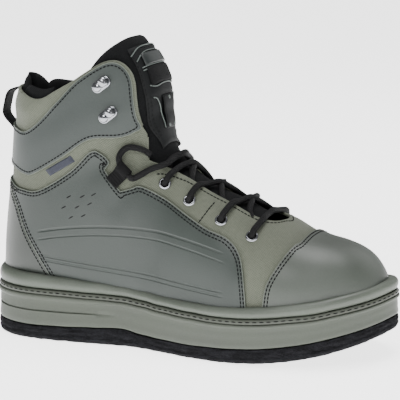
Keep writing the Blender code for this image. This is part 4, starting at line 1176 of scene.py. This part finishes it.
quarterRows = ((seams["first"], stitchRows, stitchLift), (seams["second"], stitchRows, stitchLift),
               (seams["edge"], edgeLines, edgeLift))
ankleInsets = {seams["first"]: seams["ankle"], seams["edge"]: seams["edge"]}  # the ankle has one stitch row
for side in (-1, 1):
    for inset, target, lift in quarterRows:
        addSide(target, "quarter", inset, side, lift, lambda x, z: z > heightOf(-0.05))
        if inset in ankleInsets:
            addSide(target, "ankle", ankleInsets[inset], side, lift, lambda x, z: x > backX)
    addSide(stitchRows, "heel", seams["heel"], side, stitchLift,
            lambda x, z: z > heightOf(-0.05) and x > lengthOf(0.02))

for target, lift, ankleInset, heelInset in ((stitchRows, stitchLift, seams["ankle"], seams["heel"]),
                                            (edgeLines, edgeLift, seams["edge"], seams["edge"])):
    ankleBack = [p for p in sideView("ankle", ankleInset) if p[0] < lengthOf(0.16)]
    heelBack = [p for p in sideView("heel", heelInset) if p[0] < lengthOf(0.05) and p[1] > heightOf(0.42)]
    for line in ([p for p in ankleBack if p[1] > heightOf(0.61)],
                 [p for p in ankleBack if p[1] <= heightOf(0.61)], heelBack):
        target.append(wrapLine(line, onPanel + lift))

toeAngles = np.radians(np.linspace(-104, 104, 190))
for inset, target, lift in quarterRows:
    front = sorted((p for p in sideView("toe", inset) if p[0] < lengthOf(0.84)), key=lambda p: p[1])
    xs, zs = np.array([tuple(p) for p in front]).T
    line = solvedLine(lambda p: p[..., 0] < np.interp(p[..., 2], zs, xs), toeAngles, 2.0, 11.5,
                      onPanel + lift)
    target.append([q for q in line if q[0].z > randTop(np.array([q[0].x]))[0] - 0.001])
print("lines found:", len(stitchRows), "stitched,", len(edgeLines), "edges")

# Thin tubes along the panel edges, lighter than the leather: cut edge colour plus a painted highlight
tubes("cutEdgesAndHighlights", [placesOf(line) for line in edgeLines], seams["edgeRadius"], edgeTrimAndHighlight, "smooth_leather", 2)

# Collar and throat bindings
trim = {"collarBinding": 0.0011, "throatBinding": 0.0011, "throatSink": 0.0009, "throatStitch": 0.0028,
        "notchEdge": [(0.0872, 0.1530), (0.0878, 0.1465), (0.0882, 0.1410), (0.0892, 0.1375)]}
collarRows = []
collarSide = [p for p in collarLine if backX < p[0] < lengthOf(0.411)]
for side in (-1, 1):
    collarRows.extend(sideLines(bareTree, collarSide, side, lift=-trim["collarBinding"]))
collarBack = [p for p in collarLine if p[0] < lengthOf(0.20)]
collarGraph = graphOf(collarBack)
collarRows.append(wrapLine(collarBack, -trim["collarBinding"], 20.0, 25.95))
tubes("collarBinding", [placesOf(line) for line in collarRows], trim["collarBinding"], oliveTextile,
      "woven_textile", 3)


def throatEdge(side, inset, lift, reach):
    # The throat's edge seen from above, forward of reach, moved outward by inset
    line = []
    for p in resample([q.to_3d() for q in throatLine], 0.0015):
        if p.x < reach:
            continue
        grow = Vector((1.0, 0.0)) if p.y < 0.004 else Vector((0.25, 1.0)).normalized()
        x = p.x + inset * grow.x * (1.0 if p.y < 0.02 else 0.2)
        y = (p.y + inset * grow.y) * side
        place, normal, index, away = bareTree.ray_cast(Vector((x, y, 0.30)), Vector((0, 0, -1)))
        if place is not None and normal.z > 0.15:
            line.append((place + normal * lift, normal))
    return line


throatRows = [throatEdge(side, 0.0003, -trim["throatSink"], lengthOf(0.428)) for side in (-1, 1)]
for side in (-1, 1):
    throatRows.extend(sideLines(bareTree, smoothLine(trim["notchEdge"], 5), side, lift=-trim["throatSink"]))
tubes("throatBinding", [placesOf(line) for line in throatRows], trim["throatBinding"], oliveTextile,
      "woven_textile", 3)
stitchRows.extend(throatEdge(side, trim["throatStitch"], stitchLift, lengthOf(0.448)) for side in (-1, 1))


# The cross seam by its pixels in the photograph, set on the surface and mirrored to the inner side
photo = {"middle": 200.0, "focal": 1980.0, "right": 10.4, "down": 6.0,
         "crossSeam": [(215, 202), (209, 209), (203, 217), (197, 225)]}


def fromPixel(px, py):
    right = (px - photo["middle"] + photo["right"]) / photo["focal"]
    down = (py - photo["middle"] - photo["down"]) / photo["focal"]
    return bareTree.ray_cast(cameraPlace, (-viewBack + viewRight * right - viewUp * down).normalized())[0]


crossSeam = [fromPixel(*pixel) for pixel in photo["crossSeam"]]
crossSeam = smoothLine([(p.x, p.z) for p in crossSeam if p is not None], 5)
for side in (-1, 1):
    stitchRows.extend(sideLines(bareTree, crossSeam, side, lift=stitchLift))

stitches = []
for line in stitchRows:
    if len(line) > 3:
        stitches.extend(stitchFrames(line, seams["pitch"]))
scatter("seamStitches", bead(*seams["stitch"]), stitches, thread, "smooth_leather")
print("stitches:", len(stitches))

# Vent slits, drawn as dark beads whose darkness is painted shade of the openings, and the plain side tab
vents = {"places": [(0.031, 0.108), (0.042, 0.109), (0.051, 0.111), (0.027, 0.100), (0.038, 0.101),
                    (0.048, 0.104), (0.033, 0.093), (0.043, 0.095)], "turn": 30.0,
         "length": 0.0046, "width": 0.0011}
slits = []
for x, z in vents["places"]:
    for side in (-1, 1):
        hit = castSide(panelTree, x, z, side)
        if hit:
            slope = math.radians(vents["turn"])
            along = Vector((math.cos(slope), 0, math.sin(slope)))
            along = (along - hit[1] * along.dot(hit[1])).normalized()
            slits.append((hit[0] - hit[1] * 0.00005, along, hit[1].cross(along), hit[1]))
# Each slit is a dark bead on the surface: painted shade of the opening
scatter("ventSlits", bead(vents["length"], vents["width"], 0.0005, 10, 6), slits, holeShade, "smooth_leather")

tab = {"corners": [(0.0110, 0.1260), (0.0318, 0.1382), (0.0354, 0.1341), (0.0150, 0.1220)],
       "thickness": 0.0009}


def tabPlace(s, t):
    points = []
    for a, b in zip(s, t):
        low = Vector(tab["corners"][3]).lerp(Vector(tab["corners"][2]), a)
        high = Vector(tab["corners"][0]).lerp(Vector(tab["corners"][1]), a)
        p = low.lerp(high, b)
        hit = castSide(bareTree, p.x, p.y, -1)
        rim = min(1.0, 8 * min(a, 1 - a, b, 1 - b) + 0.15)
        points.append(hit[0] + hit[1] * tab["thickness"] * rim)
    return np.array([tuple(p) for p in points])


tabPiece = finishMesh("plainSideTab", gridPiece(24, 12, tabPlace))
dress(tabPiece, tabWeave, "webbing")
print("trim made")


# Tongue, facing, badge, band, keeper, padding

tongueRows = np.array([(8.0, 30.0), (11.0, 46.0), (14.0, 58.0), (17.0, 70.0), (20.0, 80.0), (26.0, 82.0)])
thickRows = np.array([(8.0, 0.30), (12.0, 0.45), (17.0, 0.65), (22.0, 0.90), (26.0, 1.0)])
sinkRows = np.array([(8.0, 0.0), (9.4, 0.0012), (11.5, 0.0030), (14.5, 0.0032), (17.0, 0.0008), (19.0, 0.0)])


def tongueHalf(u):
    return np.radians(blendTable(tongueRows, u, 1))


def tongueBase(u, angle):
    share = np.maximum(0.0, 1 - (np.abs(angle) / tongueHalf(u) / 0.42) ** 2)
    return -(wall + 0.0008) + 0.0012 * share


def tongueOut(u, angle, s=None, t=None):
    sink = blendTable(sinkRows, u, 1) * np.exp(-(angle / tongueHalf(u) * 1.6) ** 2)
    ridge = 0.0006 * np.exp(-((u - 19.9) / 0.5) ** 2) - 0.0009 * np.exp(-((u - 18.0) / 0.6) ** 2)
    lean = 0.0012 * np.maximum(0.0, u - 21.0) * np.exp(-(angle / 1.0) ** 2)
    return tongueBase(u, angle) - sink - lean + ridge * np.exp(-(angle / 0.9) ** 2)


def tongueIn(u, angle, s=None, t=None):
    return tongueBase(u, angle * 0.0) - 0.0010 - 0.0100 * blendTable(thickRows, u, 1)


def tonguePlace(s, t):
    across = 2 * s - 1
    top = 25.15 - 0.55 * across ** 2 - 0.95 * across ** 8
    front = 8.9 + 0.25 * across * across
    u = front + (top - front) * t
    return u, across * tongueHalf(u)


tongue = pillow("paddedTongue", 44, 90, tonguePlace, tongueOut, tongueIn, (0.07, 0.05), soft=0.0)
dress(tongue, tongueTextile, "tongue_textile", "tongue")

facingRows = np.array([(15.0, 20.0), (18.0, 27.0), (22.0, 30.0), (25.0, 34.0)])


def facingPlace(s, t):
    u = 14.9 + (24.2 - 14.9) * t
    return u, (2 * s - 1) * np.radians(blendTable(facingRows, u, 1))


def patchPlace(low, high, width):
    return lambda s, t: (low + (high - low) * t, (2 * s - 1) * math.radians(width))


def onTongue(lift, bow):
    return lambda u, a, s, t: tongueOut(u, a) + lift + bow * np.sin(t * math.pi)


bandWeb = webbingLook("webbing band", colors["webbing"], 26)
# Name, look, slot, node, grid, place, outer and inner lift, bow, rim
for name, look, slotName, node, grid, place, outer, inner, bow, rim in (
        ("tongueFacing", facingLeather, "tongue_leather", "tongue_facing", (26, 50), facingPlace,
         0.0016, 0.0002, 0.0, (0.03, 0.015)),
        ("plainBadge", badgeRubber, "badge_rubber", "tongue_badge", (20, 14), patchPlace(22.35, 23.45, 19.0),
         0.0034, 0.0018, 0.0, (0.05, 0.10)),
        ("webbingBand", bandWeb, "webbing", "tongue_band", (20, 14), patchPlace(20.6, 22.2, 19.0),
         0.0031, 0.0018, 0.0, (0.05, 0.10)),
        ("keeperStrap", facingLeather, "tongue_leather", "lace_keeper", (10, 30), patchPlace(16.2, 19.4, 7.0),
         0.0030, 0.0018, 0.0014, (0.12, 0.05))):
    piece = pillow(name, *grid, place, onTongue(outer, bow), onTongue(inner, bow), rim, soft=0.0)
    dress(piece, look, slotName, node)


def tongueLine(points, lift):
    fine = smoothLine(points, 8)
    u = np.array([p[0] for p in fine])
    a = np.radians(np.array([p[1] for p in fine]))
    places = skinPoints(u, a, tongueOut(u, a) + lift, 0.0)
    return [(Vector(p), Vector(n)) for p, n in zip(places, lastNormals(u, a))]


def mirrored(half):
    return [(u, -degrees) for u, degrees in half[:0:-1]] + half


# Section and degrees from the middle outward
tongueTrim = {
    "piping": [[(24.1, 0), (24.0, 17), (23.55, 33)], [(23.6, 0), (23.45, 15), (22.95, 28)],
               [(22.30, 0), (22.32, 24)], [(22.05, 0), (22.08, 24)], [(20.5, 0), (20.4, 12), (20.7, 21)]],
    "keeperEdge": [(19.6, 19), (19.3, 14), (18.4, 10), (17.4, 8.5), (16.4, 8)],
    "topSeam": [(23.88, 0), (24.0, 15), (23.85, 30)], "stitchPitch": 0.0034,
    "stitchRows": [(0.93, 15.8, 19.9), (0.78, 15.8, 19.9), (0.95, 19.9, 23.9)],  # width share, from, to
    "rivets": [(16.55, -3.5), (16.55, 3.5), (19.1, 0)]}
pipingRows = [mirrored(half) for half in tongueTrim["piping"]]
pipingRows += [[(u, degrees * side) for u, degrees in tongueTrim["keeperEdge"]] for side in (-1, 1)]
tubes("tonguePiping", [placesOf(tongueLine(line, 0.0020)) for line in pipingRows], 0.00045, piping,
      "tongue_leather", 2)
tongueStitches = []
for side in (-1, 1):
    for width, low, high in tongueTrim["stitchRows"]:
        line = [(u, side * width * float(blendTable(facingRows, u, 1))) for u in np.linspace(low, high, 8)]
        tongueStitches.extend(stitchFrames(tongueLine(line, 0.0017), tongueTrim["stitchPitch"]))
topSeam = tongueLine(mirrored(tongueTrim["topSeam"]), 0.0017)
tongueStitches.extend(stitchFrames(topSeam, tongueTrim["stitchPitch"]))
scatter("tongueStitches", bead(0.0024, 0.0007, 0.0006), tongueStitches, thread, "tongue_leather")
rivets = []
for u, degrees in tongueTrim["rivets"]:
    a = math.radians(degrees)
    place = oneSkin(u, a, float(tongueOut(np.array([u]), np.array([a]))[0]) + 0.0032, 0.0)
    normal = Vector(lastNormals(np.array([u]), np.array([a]))[0])
    along = Vector((0, 1, 0))
    rivets.append((place, along, normal.cross(along), normal))
scatter("keeperRivets", bead(0.0030, 0.0030, 0.0016, 12, 8), rivets, piping, "tongue_leather")


def collarRow(angle, lift):
    return sectionWhere(lambda p: p[..., 2] > collarGraph(p[..., 0]) + lift, angle, 20.0, lastRow - 0.01,
                        -wall)


def paddingPlace(s, t):
    angle = np.radians(96.0 + (264.0 - 96.0) * s)
    degrees = np.degrees(angle)
    swell = np.zeros(angle.shape)
    for middle, wide in ((116.0, 28.0), (180.0, 38.0), (244.0, 28.0)):
        swell = np.maximum(swell, np.sqrt(np.maximum(0.0, 1 - ((degrees - middle) / wide) ** 2)))
    top = collarRow(angle, 0.0008) + 0.42 * swell
    return top - (3.0 + 0.2 * swell) * (1 - t), angle


def paddingOut(u, angle, s, t):
    return np.full(u.shape, -(wall + gap + 0.0001))


def paddingIn(u, angle, s, t):
    seams = np.exp(-((np.degrees(angle) - 180) / 5.0) ** 2)
    swell = 0.0062 + 0.0022 * np.sin(np.clip(t, 0, 1) * math.pi)
    return -(wall + gap + swell * (1 - 0.55 * seams))


padding = pillow("collarPadding", 90, 26, paddingPlace, paddingOut, paddingIn, (0.03, 0.24))
dress(padding, liningTextile, "lining", "collar_padding")
print("tongue and collar made")


# Eyelets and hooks

def turned(profile, segments=28):
    bm = bmesh.new()
    verts = [bm.verts.new((r, 0, h)) for r, h in profile]
    edges = [bm.edges.new((verts[i], verts[(i + 1) % len(verts)])) for i in range(len(verts))]
    bmesh.ops.spin(bm, geom=verts + edges, cent=(0, 0, 0), axis=(0, 0, 1), angle=2 * math.pi,
                   steps=segments, use_merge=True)
    bmesh.ops.remove_doubles(bm, verts=bm.verts, dist=1e-6)
    bmesh.ops.recalc_face_normals(bm, faces=bm.faces)
    return bm


def setDown(bm, place, along, normal):
    across = normal.cross(along).normalized()
    matrix = Matrix((along, across, normal)).transposed().to_4x4()
    matrix.translation = place
    bmesh.ops.transform(bm, matrix=matrix, verts=bm.verts)


eyeletShape = {"radius": 0.0045, "hole": 0.0027, "height": 0.0010, "shank": -0.0016, "lift": 0.0003}


def eyeletProfile(outer, hole, height, shank):
    return [(hole, shank), (hole, height * 0.35), (hole + 0.0003, height * 0.75), (hole + 0.0007, height),
            (outer - 0.0009, height * 0.95), (outer - 0.0003, height * 0.62), (outer, height * 0.18),
            (outer - 0.0001, 0.0001), (hole + 0.0006, 0.0001), (hole + 0.0005, shank)]


eyeletSpots = {}
holeShadeDisks = []
for number, (x, z) in enumerate(eyeletPlaces, start=1):
    for side, word in ((-1, "outer"), (1, "inner")):
        place, normal = castSide(bareTree, lengthOf(x), heightOf(z), side)
        along = (Vector((1, 0, 0)) - normal * normal.x).normalized()
        eyeletSpots[(number, side)] = (place, normal)
        bm = turned(eyeletProfile(*[eyeletShape[key] for key in ("radius", "hole", "height", "shank")]))
        setDown(bm, place + normal * eyeletShape["lift"], along, normal)
        item = finishMesh("eyelet_%s_ring_%d" % (word, number), bm, 60)
        dress(item, silver, "eyelet_metal", "eyelet_%s_%d" % (word, number))
        holeShadeDisks.append((place + normal * 0.0002, along, normal.cross(along), normal))
# A dark disk in each eyelet's hole: painted shade inside the hole
scatter("eyeletHoleShade", bead(0.0056, 0.0056, 0.0004, 20, 6), holeShadeDisks, holeShade, "eyelet_metal")

hookShape = {"length": 0.0155, "width": 0.0085, "thickness": 0.0010, "turn": 38.0, "dome": 0.0034,
             "wire": 0.0011, "curlFoot": 0.0030, "curlTop": 0.0036, "curl": 235.0}


def hookMesh():
    bm = bmesh.new()
    radius = hookShape["width"] / 2
    thick = hookShape["thickness"]
    ends = hookShape["length"] / 2
    bmesh.ops.create_circle(bm, cap_ends=True, segments=36, radius=radius)
    for vert in bm.verts:
        vert.co.x *= 0.98
        vert.co.x += math.copysign(ends - radius, vert.co.x)
    grown = bmesh.ops.extrude_face_region(bm, geom=list(bm.faces))
    bmesh.ops.translate(bm, verts=vertsOf(grown), vec=(0, 0, thick))
    bmesh.ops.recalc_face_normals(bm, faces=bm.faces)
    rim = [e for e in bm.edges if all(v.co.z > thick * 0.9 for v in e.verts) and e.calc_face_angle(0.0) > 0.5]
    bmesh.ops.bevel(bm, geom=rim, offset=thick * 0.6, offset_type="OFFSET", segments=3, profile=0.5,
                    affect="EDGES", material=-1)
    # Rivet dome on the rear half, and the curled tab that takes the lace on the front half
    dome = bmesh.ops.create_uvsphere(bm, u_segments=24, v_segments=12, radius=hookShape["dome"])["verts"]
    bmesh.ops.scale(bm, verts=dome, vec=(1, 1, 0.62))
    bmesh.ops.translate(bm, verts=dome, vec=(radius * 0.98 - ends, 0, thick * 0.9))
    start = bmesh.ops.create_circle(bm, cap_ends=True, segments=12, radius=hookShape["wire"])["verts"]
    bmesh.ops.scale(bm, verts=start, vec=(1, 2.9, 1))
    bmesh.ops.rotate(bm, verts=start, cent=(0, 0, 0), matrix=Matrix.Rotation(math.pi, 3, Vector((1, 0, 1))))
    bmesh.ops.translate(bm, verts=start, vec=(hookShape["curlFoot"], 0, 0.0012))
    geometry = start + list({e for v in start for e in v.link_edges})
    geometry += list({f for v in start for f in v.link_faces})
    bmesh.ops.spin(bm, geom=geometry, cent=(hookShape["curlFoot"], 0, hookShape["curlTop"]), axis=(0, -1, 0),
                   angle=math.radians(hookShape["curl"]), steps=14, use_duplicate=False)
    bmesh.ops.recalc_face_normals(bm, faces=bm.faces)
    return bm


for number, (x, z) in enumerate(hookPlaces, start=1):
    for side, word in ((-1, "outer"), (1, "inner")):
        place, normal = castSide(panelTree, lengthOf(x), heightOf(z), side)
        slope = math.radians(hookShape["turn"])
        along = Vector((math.cos(slope), 0, math.sin(slope)))
        along = (along - normal * along.dot(normal)).normalized()
        bm = hookMesh()
        setDown(bm, place + normal * 0.0003, along, normal)
        item = finishMesh("speedHook_%s_%d" % (word, number), bm, 45)
        dress(item, silver, "hook_metal", "lace_hook_%s_%d" % (word, number))
print("eyelets and hooks made")


# Webbing straps: a grid along a path, with its own UV map for the weave

def strap(name, path, acrossAxis, width, thickness, look, slotName, *replaced):
    fine = [Vector(p) for p in path]
    count = len(fine)
    tangents = [(fine[min(k + 1, count - 1)] - fine[max(k - 1, 0)]).normalized() for k in range(count)]
    sides = [(acrossAxis - t * acrossAxis.dot(t)).normalized() for t in tangents]

    def place(s, t):
        k = np.rint(s * (count - 1)).astype(int)
        return np.array([tuple(fine[i] + sides[i] * ((b - 0.5) * width)) for i, b in zip(k, t)])

    item = finishMesh(name, gridPiece(count - 1, 8, place))
    solid = item.modifiers.new("web", "SOLIDIFY")
    solid.thickness = thickness
    solid.offset = 0.0
    softEdge(item, thickness * 0.35, 50)
    evaluated(item)
    for face in item.data.polygons:
        face.use_smooth = True
    return dress(item, look, slotName, *replaced)


pullWeb = webbingLook("pull loop webbing", colors["webbing"], 60)
pull = {"path": [(-0.0245, 0.1425), (-0.0278, 0.1475), (-0.0330, 0.1535), (-0.0375, 0.1580),
                 (-0.0396, 0.1625), (-0.0384, 0.1690), (-0.0366, 0.1755), (-0.0338, 0.1790),
                 (-0.0280, 0.1812), (-0.0225, 0.1822), (-0.0190, 0.1808), (-0.0178, 0.1770)],
        "width": 0.0115, "thickness": 0.0015}
pullPath = smoothLine([(x, 0.0, z) for x, z in pull["path"]], 8)
strap("pullLoop", pullPath, Vector((0, 1, 0)), pull["width"], pull["thickness"], pullWeb, "webbing",
      "pull_loop")

loopWeb = webbingLook("lace loop webbing", colors["webbing"], 40)
laceRadius = boot["lace"] / 2
loop = {"place": (0.375, 0.543), "turn": 47.0, "lift": 0.0004, "width": 0.0105, "thickness": 0.0010}
loopSpots = {}
for side, word in ((-1, "outer"), (1, "inner")):
    place, normal = castSide(bareTree, lengthOf(loop["place"][0]), heightOf(loop["place"][1]), side)
    slope = math.radians(loop["turn"])
    forward = Vector((math.cos(slope), 0, math.sin(slope)))
    forward = (forward - normal * forward.dot(normal)).normalized()
    across = normal.cross(forward)
    if across.z < 0:
        across = -across
    thick = loop["thickness"]
    centre = 2 * gap + thick + laceRadius + loop["lift"]
    reach = laceRadius + 2 * gap + thick / 2
    lower = gap + loop["lift"] + thick / 2
    higher = gap * 3 + loop["lift"] + thick * 1.5
    line = [(-0.0140, lower), (-0.0045, lower)]
    for a in (-math.pi / 2, -math.pi / 4, 0, math.pi / 4, math.pi / 2, math.pi * 3 / 4):
        line.append((reach * math.cos(a), centre + reach * math.sin(a)))
    line += [(-0.0050, higher), (-0.0135, higher)]
    path = smoothLine([place + forward * a + normal * b for a, b in line], 5)
    strap("laceLoop_" + word, path, across, loop["width"], thick, loopWeb, "webbing", "lace_loop_" + word)
    loopSpots[side] = (place + normal * centre, across, normal)
print("straps made")


# Laces: round braided cord through the eyelets, crossing over the tongue

lacing = {"edge": 0.222, "barShift": -0.18, "underShift": 0.42, "topShift": 0.55, "topSag": 1.3,
          "over": 0.0022, "lift": 0.0004, "step": 0.0011, "braidLength": 0.0042,
          "topPlaces": ((0.402, 0.512, 0.0010), (0.418, 0.527, 0.0006), (0.438, 0.548, 0.0004))}
onUpper = laceRadius + gap
edgeY = lacing["edge"] * upperWidth
shift = lacing["barShift"]
eyeU = {}  # the section of the last at each eyelet
us = np.linspace(6.0, 16.0, 160)
for (number, side), (spot, normal) in eyeletSpots.items():
    angles = np.radians(np.linspace(15, 95, 90)) * side
    away = np.linalg.norm(lastPoints(us[:, None], angles[None, :]) - np.array(tuple(spot)), axis=-1)
    eyeU[(number, side)] = us[np.unravel_index(np.argmin(away), away.shape)[0]]


def tongueLevel(u, y, extra=0.0):
    angle = angleAt(u, y)
    level = float(tongueOut(np.array([float(u)]), np.array([angle]))[0])
    return oneSkin(u, angle, level + laceRadius + gap + extra, 0.0)


def outOfHole(number, side):
    place, normal = eyeletSpots[(number, side)]
    u = eyeU[(number, side)] + shift
    step = acrossPoint(u, side * edgeY, onUpper) - place
    step = (step - normal * step.dot(normal)).normalized()
    points = [place + normal * up + step * ahead
              for up, ahead in ((-0.0025, -0.0004), (0.0010, 0.0002), (0.0032, 0.0022), (0.0036, 0.0052))]
    return points + [acrossPoint(u, side * edgeY * 1.03, onUpper + 0.0003)]


def underEdge(number, side):
    u = eyeU[(number, side)]
    return [tongueLevel(u + lacing["underShift"], side * edgeY * 0.74, -0.0002),
            tongueLevel(u + 0.20, side * edgeY * 0.98, -0.0010)]


def overTongue(side, uHigh, uLow, sag=0.0):
    # The outer strand lies on top where the two cross
    points = []
    over = lacing["over"] if side == -1 else 0.0
    for share in (0.22, 0.5, 0.78):
        hump = over * math.exp(-((share - 0.5) / 0.16) ** 2)
        level = uHigh + (uLow - uHigh) * share - sag * share * (1 - share)
        points.append(tongueLevel(level, side * edgeY * (1 - 2 * share * 0.87), lacing["lift"] + hump))
    return points


barLine = outOfHole(1, -1)
for side, share in ((-1, -0.5), (1, 0.0), (1, 0.5)):
    barLine.append(tongueLevel(eyeU[(1, side)] + shift, edgeY * share, 0.0008))
laceLines = {"lace_bar": [barLine + outOfHole(1, 1)[::-1]]}
for number in (1, 2, 3):
    laceLines["lace_crossing_%d" % number] = [
        outOfHole(number + 1, side)
        + overTongue(side, eyeU[(number + 1, side)] + shift, eyeU[(number, -side)] + lacing["underShift"])
        + underEdge(number, -side) for side in (-1, 1)]
strands = []
for side in (-1, 1):
    spot, across, normal = loopSpots[side]
    line = [spot - across * 0.0070, spot - across * 0.0082]
    for a, b, lift in lacing["topPlaces"]:
        hit = castSide(bareTree, lengthOf(a), heightOf(b), side)
        line.append(hit[0] + hit[1] * (onUpper + lift))
    uHigh = eyeU[(4, side)] + lacing["topShift"]
    line.append(acrossPoint(uHigh, side * edgeY * 1.02, onUpper + 0.0006))
    line += overTongue(side, uHigh, eyeU[(4, -side)] + lacing["underShift"], lacing["topSag"])
    strands.append(line + underEdge(4, -side))
laceLines["lace_crossing_4"] = strands


def laceLook(name, longest):
    return braidLook(name, colors["lace"], round(longest / lacing["braidLength"]))


for name, strands in laceLines.items():
    fineLines = [resample(smoothLine(line, 10), lacing["step"]) for line in strands]
    look = laceLook("black braided lace " + name, max(pathLengths(line)[-1] for line in fineLines))
    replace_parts(tubes("cord_" + name, fineLines, laceRadius, look, "lace_cord", 5), name)

laceTurn = {"radius": 0.0080, "steps": (22, 44, 66, 88, 110, 132), "lift": 0.0017,
            "ends": ((0.0815, 0.1452, 0.0), (0.0862, 0.1434, -0.0006), (0.0902, 0.1408, -0.0022))}
for side, word in ((-1, "outer"), (1, "inner")):
    spot, across, normal = loopSpots[side]
    points = [spot + across * step for step in (-0.0078, -0.0040, 0.0, 0.0030)]
    heading = Vector((across.x, across.z)).normalized()
    right = Vector((heading.y, -heading.x))
    middle = Vector((points[-1].x, points[-1].z)) + right * laceTurn["radius"]
    spots = []
    for degrees in laceTurn["steps"]:
        a = math.radians(degrees)
        spots.append(middle - (right * math.cos(a) - heading * math.sin(a)) * laceTurn["radius"])
    lifts = [laceTurn["lift"] * max(0.0, 1 - k / 4) for k in range(len(spots))]
    for (x, z), lift in list(zip(spots, lifts)) + [((x, z), lift) for x, z, lift in laceTurn["ends"]]:
        hit = castSide(bareTree, x, z, side)
        points.append(hit[0] + hit[1] * (onUpper + 0.0003 + lift))
    fine = resample(smoothLine(points, 10), lacing["step"])
    length = pathLengths(fine)[-1]
    look = laceLook("lace end " + word, length)
    item = tubes("cord_lace_end_" + word, [fine], laceRadius, look, "lace_cord", 5)
    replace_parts(item, "lace_end_" + word)
    print("lace end", word, round(length, 4))
print("laces made")


# Floor and soft studio light

floorBm = bmesh.new()
bmesh.ops.create_grid(floorBm, x_segments=2, y_segments=2, size=9.0)
bmesh.ops.translate(floorBm, verts=floorBm.verts, vec=(0, 0, -0.0002))
floorPiece = finishMesh("paleFloor", floorBm)
floorLook = Look("pale floor", (245, 245, 245), 0.9)
floorLook.put("Base Color", floorLook.shade(floorLook.noise(3.0), (244, 244, 244), (247, 247, 247)))
floorLook.put("Emission Color", (1.0, 1.0, 1.0, 1.0))
floorLook.put("Emission Strength", 2.8)
floorLook.finish()
floorPiece.data.materials.append(floorLook.material)

lights = {"key": ((0.15, -1.2, 1.2), 0.8, 13.0), "fill": ((1.3, -0.9, 0.7), 0.9, 1.8),
          "top": ((0.2, 0.2, 1.6), 1.0, 20.0), "rim": ((0.6, 1.2, 0.8), 0.8, 2.0)}  # place, size, power
worldStrength = 0.25
lightTarget = Vector((0.1, 0, 0.08))
world = bpy.data.worlds.new("soft studio")
bpy.context.scene.world = world
world.use_nodes = True
world.node_tree.nodes["Background"].inputs[0].default_value = (1, 1, 1, 1)
world.node_tree.nodes["Background"].inputs[1].default_value = worldStrength
for name, (place, size, power) in lights.items():
    light = bpy.data.lights.new(name, "AREA")
    light.shape = "DISK"
    light.size = size
    light.energy = power
    way = (Vector(place) - lightTarget).to_track_quat("Z", "Y").to_matrix().to_4x4()
    placed(name, light).matrix_world = Matrix.Translation(Vector(place)) @ way
